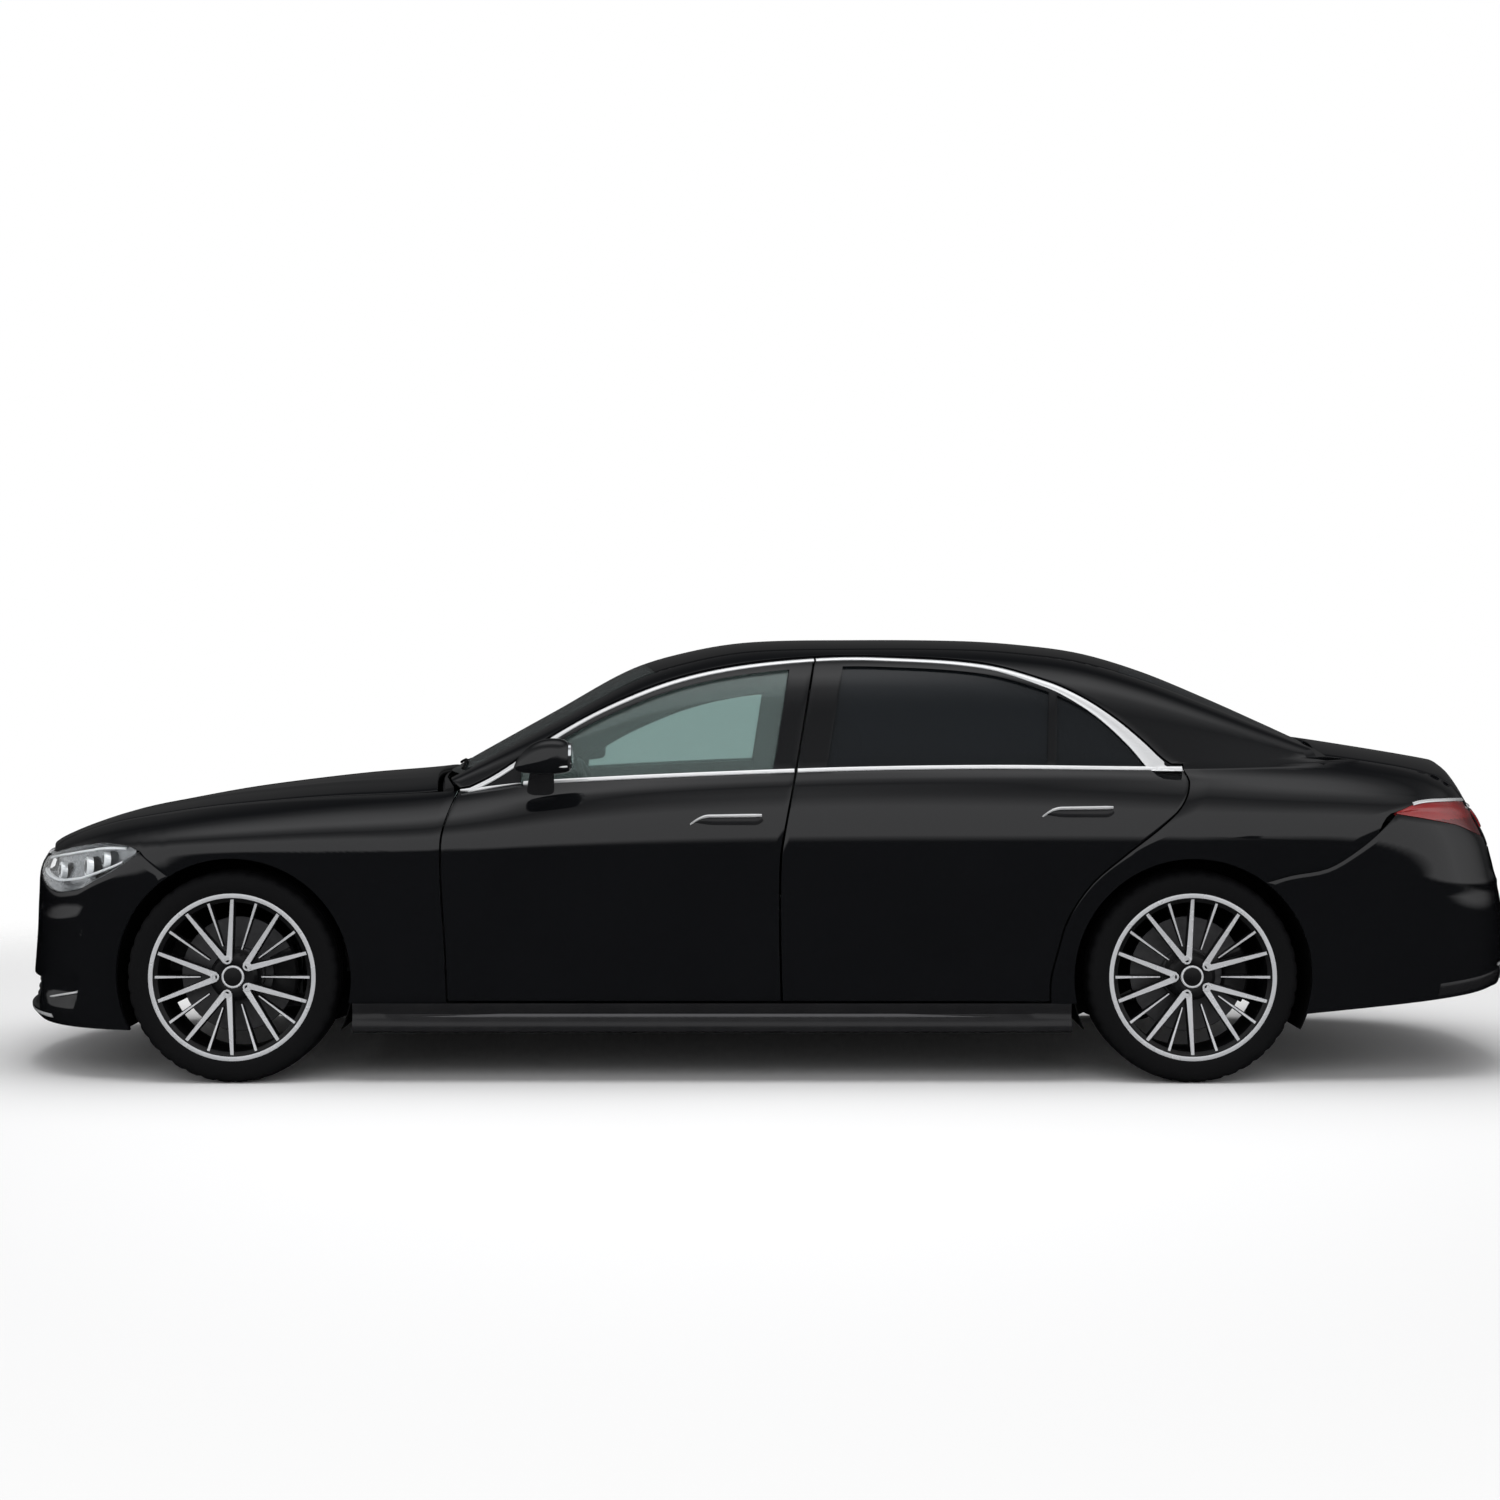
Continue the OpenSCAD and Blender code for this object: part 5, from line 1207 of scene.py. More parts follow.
def build_window_trims():
    for kind in DOORS:
        path = door_top_path(kind)
        keep = path[(path[:, 0] > -1420) & (path[:, 0] < TRIM_WIDTH[-1][0])]
        wide = np.interp(keep[:, 0], *zip(*TRIM_WIDTH))
        upper = outline_offset(keep, -(wide / 2 + 2))
        x0, x1 = DOORS[kind][0](BELT), 820.0 if kind == "front" else rear_fore(BELT)
        bx = np.linspace(x0 + 2, x1 - 2, 60)
        low = np.stack((bx, belt(bx) + 3), 1)
        parts = [side_strip(f"upper_trim_{kind}", upper, wide, 5.0, level=-4),
                 side_strip(f"belt_trim_{kind}", low, 14, 5.0)]
        if kind == "front":
            sx = np.linspace(828, 1008, 24)
            sail = np.stack((sx, belt(sx) + 4), 1)
            parts.append(side_strip("sail_trim", sail, np.linspace(3, 13, 24), 4.0))
        place_on_doors(dress(join(parts, f"window_trim_{kind}_left"), "chrome_painted_reflection"), kind, "bright")


def build_handles():
    for kind, x0, x1, zt in (("front", 12, 252, 900), ("rear", -1160, -924, 926)):
        t = np.linspace(0, 1, 33)
        x = mix(x0, x1, t)
        top = zt - 3 * t - 28 * np.clip((t - 0.72) / 0.28, 0, 1) ** 2
        low = zt - 34 + 12 * np.clip((t - 0.6) / 0.4, 0, 1) ** 2 + 14 * np.clip((0.1 - t) / 0.1, 0, 1) ** 2
        low = np.minimum(low, top - 4)
        mid = np.stack((x, (top + low) / 2), 1)
        recess = dress(side_strip(f"handle_{kind}", mid, top - low, 7.0), "black_trim")
        blade = np.stack((x, top - 2), 1)
        wide = np.interp(t, [0, 0.1, 0.8, 1], [9, 11, 10, 5])
        bright = dress(side_strip(f"handle_blade_{kind}", blade, wide, 15.0), "chrome_painted_reflection")
        place_on_doors(join([recess, bright], f"handle_{kind}_left"), kind, "bright")


def oval(n, power):
    """Points round an oval of unit size; a higher power is squarer."""
    a = np.linspace(0, 2 * np.pi, n, endpoint=False)
    c, s = np.cos(a), np.sin(a)
    return np.stack((np.sign(c) * np.abs(c) ** (2 / power), np.sign(s) * np.abs(s) ** (2 / power)), 1)


MIRROR_OUTLINE = [
    (838, 1058), (829, 1080), (808, 1110), (780, 1136), (745, 1152), (705, 1157), (672, 1153), (652, 1140),
    (645, 1115), (643, 1085), (644, 1062), (650, 1048), (680, 1040), (730, 1037), (780, 1039), (822, 1046),
]
MIRROR_SECTIONS = [
    (930, 0.08), (933, 0.50), (940, 0.78), (955, 0.94), (985, 1.0), (1015, 1.0), (1040, 0.97), (1056, 0.90),
    (1067, 0.74), (1072, 0.50), (1074, 0.08),
]


def build_mirrors():
    knots = np.array(MIRROR_OUTLINE + MIRROR_OUTLINE[:1], float)
    t = np.linspace(0, len(MIRROR_OUTLINE), 48, endpoint=False)
    x, z = (curve(np.stack((np.arange(len(knots)), knots[:, k]), 1), t) for k in (0, 1))
    cx, cz = 725.0, 1085.0
    rings = np.stack([xyz(cx + (x - cx) * g, y, cz + (z - cz) * g) for y, g in MIRROR_SECTIONS])
    head = dress(tube("mirror_head", rings, angle=40), "paint")
    bx = np.linspace(655, 826, 24)
    edge = 1068 - 26 * np.clip((bx - 740) / 90, 0, 1) ** 2
    shape = [(-30, -3), (0, -3), (2, -1), (2, 1), (0, 3), (-30, 3)]
    rings = np.stack([xyz(bx, edge + d, 1064 - 6 * (bx - 655) / 171 + h) for d, h in shape], 1)
    band = dress(tube("mirror_band", rings, angle=50), "chrome_painted_reflection")
    o = oval(36, 3.2)
    steps = ((8, 1.0), (0, 1.0), (-1.5, 0.97), (0.5, 0.92), (1, 0.04))
    rings = np.stack([xyz(645.0 + d, 1003 + o[:, 0] * 54 * k, 1098 + o[:, 1] * 44 * k) for d, k in steps])
    plate = dress(tube("mirror_plate", rings, angle=30), "mirror_glass")
    rings = []
    for u in np.linspace(0, 1, 9):
        a, b = (oval(24, 3.0) * np.array([mix(46, 40, u), mix(22, 16, u)])).T
        lean = 0.8 * u
        rings.append(xyz(754 - 8 * u + a, mix(930, 972, u) + lean * b, mix(986, 1046, u) + b * (1 - lean)))
    foot = dress(tube("mirror_foot", np.array(rings), angle=40), "black_trim")
    place_on_doors(join([head, band, plate, foot], "door_mirror_left"), "front", "paint", "mirror")


# Wheels, built once about the origin with the outside towards +Y.
def lathe(name, profile, n=96, **words):
    """A profile of radii and heights turned about Y."""
    a = np.linspace(0, 2 * np.pi, n, endpoint=False)
    p = np.asarray(profile, float)
    rings = np.stack([xyz(p[:, 0] * math.cos(t), p[:, 1], p[:, 0] * math.sin(t)) for t in a])
    return tube(name, rings, closed=True, **words)


def wheel_tyre():
    side = [(272, 111.5), (276, 119), (284, 124), (300, 126.8), (318, 127.2), (330, 125.5), (338, 122),
            (345, 116.5), (350, 110)]
    tread = [(353, 100), (354.5, 92), (355, 80)]
    groove = []
    for c in (62, 22, -22, -62):
        groove += [(355.6, c + 6), (349, c + 4), (349, c - 4), (355.6, c - 6)]
    outer = side + tread
    prof = np.array(outer + groove + [(r, -y) for r, y in reversed(outer)])
    shoulder = (np.abs(prof[:, 1]) > 70) & (np.abs(prof[:, 1]) < 121) & (prof[:, 0] > 336)
    rings = []
    for i, t in enumerate(np.linspace(0, 2 * np.pi, 160, endpoint=False)):
        r = prof[:, 0] - np.where(shoulder & (i % 4 == 0), 4.0, 0)
        rings.append(xyz(r * math.cos(t), prof[:, 1], r * math.sin(t)))
    return dress(tube("tyre", np.array(rings), closed=True, angle=30), "rubber")


def bar_rings(p0, p1, w0, w1, y0, y1, deep0, deep1, n=7):
    """Rings of a spoke between two points of the wheel plane."""
    p0, p1 = np.asarray(p0, float), np.asarray(p1, float)
    d = unit(p1 - p0)
    across = np.array([-d[1], d[0]])
    rings = []
    for t in np.linspace(0, 1, n):
        c = mix(p0, p1, t)
        w, y, deep = mix(w0, w1, t) / 2, mix(y0, y1, t), mix(deep0, deep1, t)
        shape = [(-w - 2, -deep), (-w, -2.5), (-w + 1.2, 0), (w - 1.2, 0), (w, -2.5), (w + 2, -deep)]
        rings.append([(c[0] + a * across[0], y + b, c[1] + a * across[1]) for a, b in shape])
    return np.array(rings)


def polar(r, degrees):
    return np.array([r * math.cos(math.radians(degrees)), r * math.sin(math.radians(degrees))])


def machined(obj, test):
    """Machined metal on the faces that pass a test, dark metal elsewhere."""
    dress(obj, "rim_dark", "rim_face")
    second_finish(obj, test)
    return obj


def face_radius(p, x=0.0, z=0.0):
    return math.hypot(p.center[0] / MM - x, p.center[2] / MM - z)


RIM_LIP = [
    (251, 108), (251, 113.5), (253, 115), (262, 117), (266, 121.5), (275, 122.5), (282, 121.5), (283, 118),
    (272, 112), (272, 104), (256, 104),
]
RIM_BARREL = [
    (271, 106), (258, 104), (252, 70), (248, 0), (252, -90), (256, -110), (264, -113), (271, -113), (271, -100),
    (262, -80), (257, 0), (262, 70), (271, 98),
]
RIM_HUB = [
    (34, 40), (34, 94), (40, 99), (52, 101), (68, 99), (80, 88), (84, 60), (84, -6), (60, -20), (40, 0),
]
HUB_CAP = [
    (0.4, 92), (0.4, 107), (20, 106.6), (29, 105.5), (31, 107), (34, 108), (37, 107), (38.5, 104), (38.5, 92),
]
BOLT_SEAT = [(15, 92), (15, 108.5), (13.5, 109.5), (8.5, 109.5), (8, 100), (0.3, 100)]


def wheel_rim(double_spokes):
    step = 360 / (4 * double_spokes)
    spokes = []
    for k in range(double_spokes):
        v = k * 360 / double_spokes
        for side in (-1, 1):
            inner, outer = polar(57, v + side * 6), polar(268, v + side * step)
            spokes.append(bar_rings(inner, outer, 22, 13, 108, 117, 30, 34))
        spokes.append(bar_rings(polar(108, v), polar(268, v), 6, 11.5, 105, 117, 14, 34))
        spokes.append(bar_rings(polar(96, v + 2 * step), polar(268, v + 2 * step), 6, 11.5, 104, 117, 14, 34))
    bars = [tube(f"spoke_{i}", r, angle=25) for i, r in enumerate(spokes)]
    parts = [machined(bar, lambda p: p.normal[1] > 0.75) for bar in bars]
    lip = lathe("rim_lip", RIM_LIP, 128, angle=30)
    parts.append(machined(lip, lambda p: p.normal[1] > 0.5 and 266 < face_radius(p) < 281))
    parts.append(dress(lathe("rim_barrel", RIM_BARREL, 96, angle=30), "rim_dark"))
    parts.append(dress(lathe("rim_hub", RIM_HUB, 64, angle=30), "rim_dark"))
    cap = lathe("hub_cap", HUB_CAP, 64, angle=30)
    parts.append(machined(cap, lambda p: face_radius(p) > 31.5 and p.normal[1] > 0.4))
    e = oval(12, 2.0)
    for k in range(double_spokes):
        c = polar(60, k * 360 / double_spokes)
        rings = np.stack([xyz(c[0] + e[:, 0] * r, y, c[1] + e[:, 1] * r) for r, y in BOLT_SEAT])
        pad = tube(f"bolt_seat_{k}", rings, angle=30)
        parts.append(machined(pad, lambda p: p.normal[1] > 0.6 and face_radius(p, *c) > 8.2))
    return join(parts, "rim")


def wheel_disc():
    prof = [(62, -8), (62, 18), (90, 18), (92, -6), (193, -6), (195, -8), (195, -34), (193, -36), (64, -36)]
    return dress(lathe("brake_disc", prof, 96, angle=30), "disc_steel")


def caliper():
    n = 15
    a = np.radians(np.linspace(152, 208, n))
    shape = [(118, -50), (118, 4), (130, 12), (196, 12), (206, 4), (208, -50), (196, -58), (130, -58)]
    rings = np.array([[(r * math.cos(t), y, r * math.sin(t)) for r, y in shape] for t in a])
    return dress(tube("brake_caliper", rings, bevel=3, angle=35), "black_trim")


def copy_to(obj, name, x, side):
    other = copy_of(obj, name) if side > 0 else twin(obj, name)
    move(other, points_of(other) + np.array([x, side * TRACK_HALF, HUB], np.float32) * MM)
    return other


def build_wheels():
    tyre, rim, disc, grip = wheel_tyre(), wheel_rim(settings().double_spokes), wheel_disc(), caliper()
    for end, x in (("front", FRONT_AXLE), ("rear", REAR_AXLE)):
        for side, word in ((1, "left"), (-1, "right")):
            body = f"wheel_{end}_{word}"
            place(copy_to(tyre, f"road_tyre_{end}_{word}", x, side), body, "tyre", f"tyre_{end}_{word}")
            place(copy_to(rim, f"alloy_rim_{end}_{word}", x, side), body, "rim", f"rim_{end}_{word}")
            place(copy_to(disc, f"disc_{end}_{word}", x, side), body, "steel")
            carrier = f"knuckle_{word}_body" if end == "front" else "chassis"
            place(copy_to(grip, f"caliper_{end}_{word}", x, side), carrier, "steel")
    for o in (tyre, rim, disc, grip):
        bpy.data.objects.remove(o)


# Cabin.
def cushion(name, size, at, tilt=0.0, seams=(), crown_up=0.10, power=5.0):
    """A crowned pad with sewn channels across its upper side."""
    deselect()
    bpy.ops.mesh.primitive_cube_add(size=2)
    obj = bpy.context.object
    obj.name = obj.data.name = name
    edit(obj, ("subdivide", {"number_cuts": 22}))
    p = points_of(obj).astype(float)
    big = np.abs(p).max(1, keepdims=True)
    p = p * big / (np.abs(p) ** power).sum(1, keepdims=True) ** (1 / power)
    top = p[:, 2] > 0.2
    swell_up = crown_up * (1 - p[:, 0] ** 2) * (1 - p[:, 1] ** 2)
    p[:, 2] += np.where(p[:, 2] > 0, swell_up * 2.2, -0.2 * swell_up)
    for axis, place_at, depth in seams:
        p[:, 2] -= np.where(top, depth * np.exp(-((p[:, axis] - place_at) / 0.035) ** 2), 0)
    pull = 1 - 0.03 * (1 - p[:, 1] ** 2)
    p[:, 0] *= pull
    pts = turn_y(p * np.asarray(size) / 2 + np.asarray(at, float), tilt, np.asarray(at, float))
    put(obj, pts)
    modify(obj, "SUBSURF", levels=1, render_levels=1)
    smooth(obj, 60)
    return dress(obj, "leather")


CHANNELS = [(0, c, 0.10) for c in (-0.55, -0.2, 0.15, 0.5)] + [(1, -0.62, 0.14), (1, 0.62, 0.14)]
MIDDLE_SEAM = [(1, 0.0, 0.06)]


def place_pad(obj, node):
    place(obj, "chassis", "leather", node)


def build_seats():
    base = cabin(0.5)
    for word, y in (("left", 370), ("right", -370)):
        parts = (
            ("cushion", (500, 510, 150), (base - 30, y, 470), -4, CHANNELS),
            ("back", (620, 500, 130), (base - 392, y, 770), -74, CHANNELS),
            ("headrest", (180, 260, 84), (base - 476, y, 1112), -84, MIDDLE_SEAM),
        )
        for kind, size, at, tilt, seams in parts:
            place_pad(cushion(f"front_{kind}_{word}", size, at, tilt, seams), "front_seats")
        x, z = np.array([-330, -300, 150, 180]), np.array([216, 400, 400, 216])
        steps = ((-1, 0.97), (-0.9, 1), (0.9, 1), (1, 0.97))
        rings = np.stack([xyz(base + x * f, y + 235 * s, z) for s, f in steps])
        box = dress(tube(f"front_seat_base_{word}", rings, bevel=12), "soft_trim")
        place(box, "chassis", "trim", "front_seats")
    bx = cabin(0.18)
    for n, y in enumerate((392, 0, -392)):
        parts = (
            ("cushion", (470, 386, 150), (bx + 118, y, 498), -5, CHANNELS),
            ("back", (610, 386, 130), (bx - 222, y, 770), -72, CHANNELS),
            ("headrest", (150, 230, 76), (bx - 322, y, 1118), -80, MIDDLE_SEAM),
        )
        for kind, size, at, tilt, seams in parts:
            place_pad(cushion(f"rear_{kind}_{n}", size, at, tilt, seams), "rear_bench")
    x = np.array([-190, -40, 300, 330, 40])
    z = np.array([424, 424, 430, 216, 216])
    rings = np.stack([xyz(bx + x, y, z) for y in (-580, -570, 570, 580)])
    place(dress(tube("rear_bench_base", rings, bevel=8), "soft_trim"), "chassis", "trim", "rear_bench")


DASH_SECTION = [
    (-4, 570), (-4, 880), (-40, 905), (-120, 925), (-230, 932), (-310, 925), (-345, 905), (-352, 880),
    (-320, 862), (-330, 838), (-372, 822), (-384, 790), (-366, 740), (-322, 690), (-262, 630), (-212, 570),
]


def build_dashboard():
    front = cabin(0.79)
    y = np.linspace(-685, 685, 61)
    bow = 1 - (y / 690) ** 4
    rings = []
    for a, h in DASH_SECTION:
        reach = 1 if a > -100 else 0.94 + 0.06 * bow
        rings.append(xyz(front + a * reach, y, h - 14 * (1 - bow) * (h > 850)))
    obj = dress(tube("dashboard_body", np.stack(rings, 1), angle=40), "soft_trim")
    place(obj, "chassis", "trim", "dashboard")
    screens = []
    o = oval(32, 7.0)
    for n, (back, yc, zc, w, h) in enumerate(((338, 370, 912, 300, 110), (392, 0, 800, 250, 190))):
        rings = []
        for d, k in ((14, 0.96), (2, 1.0), (0, 0.985), (0, 0.02)):
            across, up = o[:, 0] * w / 2 * k, o[:, 1] * h / 2 * k
            rings.append(xyz(front - back + d + 0.25 * up, yc + across, zc + up))
        screens.append(tube(f"screen_{n}", np.array(rings), angle=30))
    place(dress(join(screens, "display_screens"), "screen"), "chassis", "trim")
    vents = []
    o = oval(28, 2.0) * np.array([42, 26])
    steps = ((-10, 1.0), (10, 1.0), (13, 0.95), (11, 0.85), (2, 0.8), (2, 0.02))
    for n, yc in enumerate((-560, -120, 120, 560)):
        rings = np.stack([xyz(front - 340 - d, yc + o[:, 0] * k, 872 + o[:, 1] * k) for d, k in steps])
        vents.append(tube(f"vent_{n}", rings, angle=30))
    place(dress(join(vents, "air_vents"), "chrome_painted_reflection"), "chassis", "bright")
    x = np.linspace(-60, 690, 40)
    h = np.interp(x, [-60, 150, 300, 690], [560, 570, 520, 640])
    shape = ((-115, 300), (-115, h - 30), (-95, h), (95, h), (115, h - 30), (115, 300))
    rings = np.stack([xyz(x, y, z) for y, z in shape], 1)
    place(dress(tube("centre_console", rings, bevel=6), "soft_trim"), "chassis", "trim")


def build_steering_wheel():
    at = np.array([589.148, 370.0, 905.0])
    o = oval(14, 2.0) * 14
    turns = np.linspace(0, 2 * np.pi, 72, endpoint=False)
    rings = [xyz((178 + o[:, 0]) * math.cos(t), (178 + o[:, 0]) * math.sin(t), o[:, 1]) for t in turns]
    parts = [dress(tube("wheel_rim", np.array(rings), closed=True), "leather")]
    e = oval(40, 3.0) * np.array([60, 72])
    steps = ((0.9, -20), (1.0, -12), (1.0, 8), (0.94, 16), (0.7, 21), (0.05, 22))
    rings = np.stack([xyz(e[:, 0] * k, e[:, 1] * k, h) for k, h in steps])
    parts.append(dress(tube("wheel_pad", rings), "soft_trim"))
    q, h = np.array([(-1, -7), (1, -7), (0.8, 5), (-0.8, 5)]).T
    for n, (angle, look) in enumerate(((90, "black_trim"), (-90, "black_trim"), (180, "chrome_painted_reflection"))):
        c, s = polar(1, angle)
        widths = ((54, 22), (90, 17), (130, 14), (172, 13))
        rings = np.stack([xyz(r * c - q * w * s, r * s + q * w * c, h) for r, w in widths])
        parts.append(dress(tube(f"wheel_arm_{n}", rings, bevel=2), look))
    turns = np.linspace(0, 2 * np.pi, 24, endpoint=False)
    rings = np.stack([xyz(24 * np.cos(turns), 24 * np.sin(turns), h) for h in (-126, -16)])
    parts.append(dress(tube("wheel_column", rings), "soft_trim"))
    obj = join(parts, "steering_wheel_dressed")
    put(obj, turn_y(points_of(obj) / MM + at, -65, at))
    place(obj, "steering_wheel_body", "trim", "steering_wheel")


def build_linings():
    x, c = np.linspace(ROOF_BACK - 10, SCREEN_TOP - 40, 41)[:, None], np.linspace(1, -1, 31)[None, :]
    y = c * (side_y(x, edge_z(x)) - 60)
    points = xyz(x, y, roof_z(x, y) - 46 - 20 * np.abs(c) ** 6)
    chassis_sheet("headliner", points, 5, (0, 0, 600), "roof_cloth", "trim")
    x, y = np.linspace(-800, 1100, 60)[:, None], np.linspace(790, -790, 41)[None, :]
    z = 218 + 80 * np.exp(-(y / 110.0) ** 4) * np.clip((x + 800) / 200, 0, 1)
    chassis_sheet("floor_carpet", xyz(x, y, z), 3, (0, 0, -900), "carpet", "trim")
    x = np.linspace(-1880, -1225, 24)[:, None]
    z = np.interp(x, [-1880, -1500, -1225], [1100, 1092, 1080])
    points = xyz(x, c * np.interp(x, [-1880, -1225], [560, 640]), z)
    chassis_sheet("parcel_shelf", points, 6, (-1500, 0, 0), "roof_cloth", "trim")
    x, z = np.linspace(-2545, -1300, 60)[:, None], 416.0
    half = np.minimum(lower_y(x, z) - 30, np.interp(x, [-1870, -1840], [900, 598]))
    chassis_sheet("trunk_carpet", xyz(x, c * half, z), 3, (-1900, 0, -900), "carpet", "trim")
    t, z = np.linspace(0, 1, 25), 640.0
    w = 52 * np.minimum(1, np.minimum(t, 1 - t) * 8) ** 0.5 + 3
    shape = [(0.0, -34), (-0.6, -32), (-1, -12), (-1, 10), (-0.8, 20), (-0.3, 24), (0.0, 22)]
    for kind, (aft, fore, *_) in DOORS.items():
        x = mix(aft(z) + 110, fore(z) - 190, t)
        base = side_y(x, z) - 107
        rings = np.stack([xyz(x, base + a * w, z + 10 + h + 26 * t) for a, h in shape], 1)
        place_on_doors(dress(tube(f"armrest_{kind}_left", rings, angle=50), "leather"), kind, "leather")


def build_cowl():
    c = np.linspace(1, -1, 61)
    y = c * 690
    x0 = HOOD_REAR - 45 * c * c - 10
    x1 = np.minimum(cabin(0.8) - 95 * (y / 720) ** 2 + 16, x0 - 14)
    top = top_z(np.clip(x0, 1000, 1400), y * 0.98)
    shape = [(0.0, -44), (0.0, -30), (0.3, -22), (0.7, -20), (1.0, -18), (1.0, -40)]
    rings = np.stack([xyz(mix(x0, x1, f), y, top + h) for f, h in shape], 1)
    place(dress(tube("cowl_panel", rings), "black_trim"), "chassis", "sill")
    arms = []
    t, o = np.linspace(0, 1, 24), oval(8, 2.0) * 5
    for n, (start, end) in enumerate(((560, 40), (-80, -560))):
        y = mix(start, end, t)
        x = cabin(0.8) - 95 * (y / 700) ** 2 - 26 - 30 * np.sin(np.pi * t)
        path = xyz(x, y, roof_z(x, y) + 7)
        arms.append(tube(f"wiper_{n}", path[:, None, :] + xyz(o[:, 0], 0, o[:, 1])))
    place(dress(join(arms, "wipers"), "lining"), "chassis", "liner")


# Stage.
def stage_floor(s):
    """A round floor that fades out towards its rim."""
    deselect()
    bpy.ops.mesh.primitive_circle_add(vertices=96, radius=1, fill_type="NGON")
    floor = bpy.context.object
    floor.name = floor.data.name = "studio_floor"
    edit(floor, ("inset", {"thickness": 0.4}))
    floor.scale = (7.5, 7.5, 1)
    bpy.ops.object.transform_apply(scale=True)
    m = bpy.data.materials.new("pale_floor")
    m.use_nodes = True
    bsdf = m.node_tree.nodes["Principled BSDF"]
    preset(bsdf, {"Base Color": (*s.floor, 1), "Roughness": 0.9, "Specular IOR Level": 0.0})
    where, length, ramp = new_nodes(m.node_tree, "TexCoord", "VectorMath", "MapRange")
    length.operation = "LENGTH"
    ramp.interpolation_type = "SMOOTHSTEP"
    preset(ramp, {"From Min": 3.6, "From Max": 7.0, "To Min": 1.0, "To Max": 0.0})
    wire(m.node_tree, (where, "Object", length, 0), (length, "Value", ramp, "Value"),
         (ramp, "Result", bsdf, "Alpha"))
    floor.data.materials.append(m)
    floor.visible_glossy = False


# Brightness of the studio in reflections, from straight below to straight above.
STUDIO_STOPS = (
    (0.0, 0.02), (0.495, 0.03), (0.515, 0.95), (0.70, 1.0), (0.80, 0.40), (0.86, 0.22), (0.93, 0.6),
    (0.985, 1.25), (1.0, 1.3),
)


def stage_world():
    """White for the camera and through glass, a graded studio in reflections."""
    world = bpy.data.worlds.new("studio")
    bpy.context.scene.world = world
    world.use_nodes = True
    tree = world.node_tree
    back = tree.nodes["Background"]
    where, split, shift, ramp = new_nodes(tree, "TexCoord", "SeparateXYZ", "MapRange", "ValToRGB")
    path, seen, blend, near, dim = new_nodes(tree, "LightPath", "Math", "Mix", "MapRange", "Mix")
    seen.operation = "MAXIMUM"
    blend.data_type = "RGBA"
    dim.data_type, dim.blend_type = "RGBA", "MULTIPLY"
    stops = ramp.color_ramp.elements
    while len(stops) < len(STUDIO_STOPS):
        stops.new(0.5)
    for stop, (at, v) in zip(stops, STUDIO_STOPS):
        stop.position, stop.color = at, (v, v, v * 1.01, 1)
    preset(shift, {"From Min": -1.0, "From Max": 1.0})
    preset(near, {"From Min": -0.7, "From Max": 0.2, "To Min": 0.05, "To Max": 1.0})
    preset(dim, {"Factor": 1.0})
    preset(blend, {"B": (1, 1, 1, 1)})
    wire(
        tree, (where, "Generated", split, 0), (split, "Z", shift, "Value"), (shift, "Result", ramp, "Fac"),
        (path, "Is Camera Ray", seen, 0), (path, "Is Transmission Ray", seen, 1), (seen, 0, blend, "Factor"),
        (split, "Y", near, "Value"), (ramp, "Color", dim, "A"), (near, "Result", dim, "B"),
        (dim, "Result", blend, "A"), (blend, "Result", back, "Color"),
    )


def stage_lights(s):
    rows = (
        ("overhead_light", (0, 0, 6.0), (9, 6), s.light, (0, 0, 0)),
        ("side_light", (0.5, 7.5, 4.2), (7, 2.5), s.light * 0.25, (0, 0, 0.6)),
    )
    for name, at, size, power, aim in rows:
        data = bpy.data.lights.new(name, "AREA")
        data.shape = "RECTANGLE"
        data.size, data.size_y = size
        data.energy = power
        lamp = bpy.data.objects.new(name, data)
        bpy.context.scene.collection.objects.link(lamp)
        lamp.location = at
        x, y, z = np.array(aim, float) - np.array(at, float)
        lamp.rotation_euler = (math.atan2(math.hypot(x, y), -z), 0, math.atan2(y, x) - math.pi / 2)
        lamp.visible_glossy = False


def stage_camera(s):
    cam = bpy.data.cameras.new("camera")
    cam.sensor_width = 36.0
    cam.lens = s.lens
    cam.shift_y = s.shift_y
    cam.clip_end = 100
    obj = bpy.data.objects.new("camera", cam)
    bpy.context.scene.collection.objects.link(obj)
    obj.location = s.camera
    obj.rotation_euler = (math.pi / 2, 0, math.pi)
    bpy.context.scene.camera = obj
    bpy.context.scene.view_settings.view_transform = "Standard"


def build_stage():
    s = settings()
    stage_floor(s)
    stage_world()
    stage_lights(s)
    stage_camera(s)


def colour(name, text, default):
    return bpy.props.FloatVectorProperty(
        name=name, description=text, default=default, subtype="COLOR", size=3, min=0, max=1)


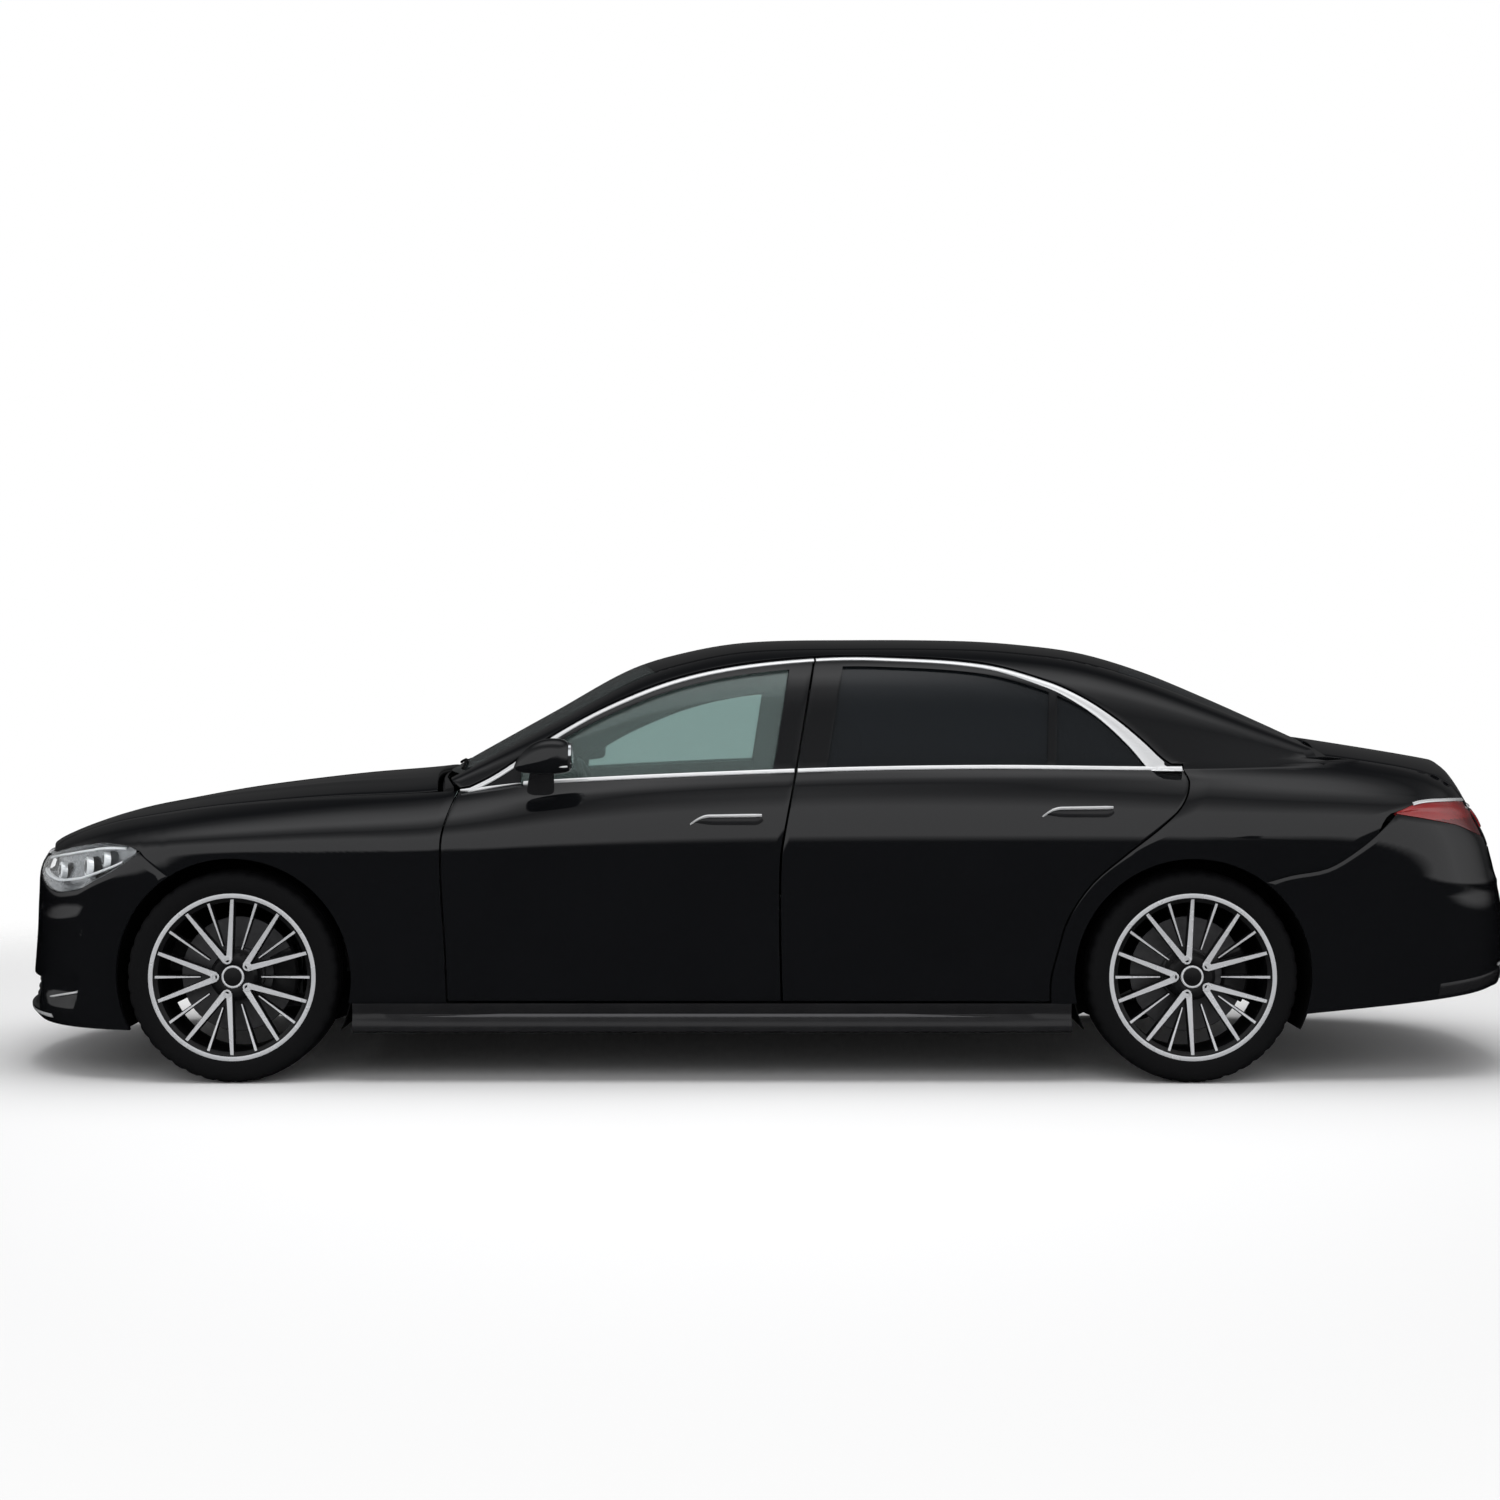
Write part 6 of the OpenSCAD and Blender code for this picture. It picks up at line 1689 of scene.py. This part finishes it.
class SaloonSettings(bpy.types.PropertyGroup):
    """Colours and sizes of the saloon"""
    paint: colour("Paint", "Colour of the body", (0.0045, 0.0048, 0.0056))
    front_glass: colour("Front glass", "Tint of the front panes", (0.46, 0.58, 0.56))
    rear_glass: colour("Rear glass", "Tint of the rear panes", (0.030, 0.036, 0.042))
    rim_face: colour("Rim face", "Machined metal of the rims", (0.72, 0.73, 0.75))
    leather: colour("Leather", "Colour of the seats", (0.030, 0.027, 0.025))
    floor: colour("Floor", "Colour of the floor", (0.93, 0.93, 0.93))
    double_spokes: bpy.props.IntProperty(
        name="Double spokes", description="Double spokes in a rim", default=5, min=4, max=6)
    light: bpy.props.FloatProperty(
        name="Light", description="Power of the overhead light", default=330.0, min=0, unit="POWER")
    lens: bpy.props.FloatProperty(
        name="Lens", description="Focal length in millimetres", default=63.5, min=10, max=200)
    shift_y: bpy.props.FloatProperty(
        name="Shift", description="Vertical shift of the frame", default=-0.0365)
    camera: bpy.props.FloatVectorProperty(
        name="Camera", description="Place of the camera", default=(0.052, 9.8, 1.30), subtype="TRANSLATION",
        size=3, unit="LENGTH")


def piece_operator(word, label, text, build):
    """One operator that builds a group of like pieces."""
    def execute(self, context):
        build()
        return {"FINISHED"}
    return type(f"SALOON_OT_{word}", (bpy.types.Operator,), {
        "__doc__": text, "bl_idname": f"saloon.{word}", "bl_label": label, "execute": execute})


STEPS = (
    ("stage", "Stage", "Floor, light and camera", build_stage),
    ("finishes", "Finishes", "Materials of all pieces and of the solids that show", build_finishes),
    ("doors", "Doors", "Four door panels with window frames", build_doors),
    ("panes", "Panes", "Glass of the four doors", build_panes),
    ("side_frames", "Side frames", "Pillars, cant rails and rear quarters", build_side_frames),
    ("fenders", "Fenders", "Front fenders", build_fenders),
    ("hood", "Hood", "Hood panel", build_hood),
    ("trunk_lid", "Trunk lid", "Trunk lid panel", build_trunk_lid),
    ("roof", "Roof and screens", "Roof panel, windscreen and rear window", build_roof_and_screens),
    ("front_bumper", "Front bumper", "Front bumper with air inlets", build_front_bumper),
    ("grille", "Grille", "Radiator grille", build_grille),
    ("headlamps", "Headlamps", "Headlamp covers and insides", build_headlamps),
    ("rear_bumper", "Rear bumper", "Rear bumper with apron and outlets", build_rear_bumper),
    ("tail_lamps", "Tail lamps", "Tail lamps and trunk trim", build_tail_lamps),
    ("housings", "Wheel housings", "Dark walls of the wheel housings", build_housings),
    ("seals", "Seals", "Door seals and window surrounds", build_seals),
    ("sills", "Sills", "Sill covers with bright strips", build_sills),
    ("window_trims", "Window trims", "Bright trims round the side windows", build_window_trims),
    ("handles", "Handles", "Door handles", build_handles),
    ("mirrors", "Mirrors", "Door mirrors", build_mirrors),
    ("wheels", "Wheels", "Tyres, rims, discs and calipers", build_wheels),
    ("seats", "Seats", "Front seats and rear bench", build_seats),
    ("dashboard", "Dashboard", "Dashboard, screens and console", build_dashboard),
    ("steering_wheel", "Steering wheel", "Steering wheel", build_steering_wheel),
    ("linings", "Linings", "Headliner, carpets, parcel shelf and armrests", build_linings),
    ("cowl", "Cowl", "Cowl panel and wipers", build_cowl),
)
OPERATORS = [piece_operator(*step) for step in STEPS]


class SALOON_PT_panel(bpy.types.Panel):
    """Lists the pieces of the saloon"""
    bl_idname = "SALOON_PT_panel"
    bl_label = "Long saloon"
    bl_space_type = "VIEW_3D"
    bl_region_type = "UI"
    bl_category = "Saloon"

    def draw(self, context):
        for name in SaloonSettings.__annotations__:
            self.layout.prop(context.scene.saloon, name)
        for op in OPERATORS:
            self.layout.operator(op.bl_idname)


CLASSES = [SaloonSettings, *OPERATORS, SALOON_PT_panel]


def register():
    for c in CLASSES:
        bpy.utils.register_class(c)
    bpy.types.Scene.saloon = bpy.props.PointerProperty(type=SaloonSettings)


def unregister():
    del bpy.types.Scene.saloon
    for c in reversed(CLASSES):
        bpy.utils.unregister_class(c)


def main():
    register()
    for word, *_ in STEPS:
        getattr(bpy.ops.saloon, word)()


if __name__ == "__main__":
    main()
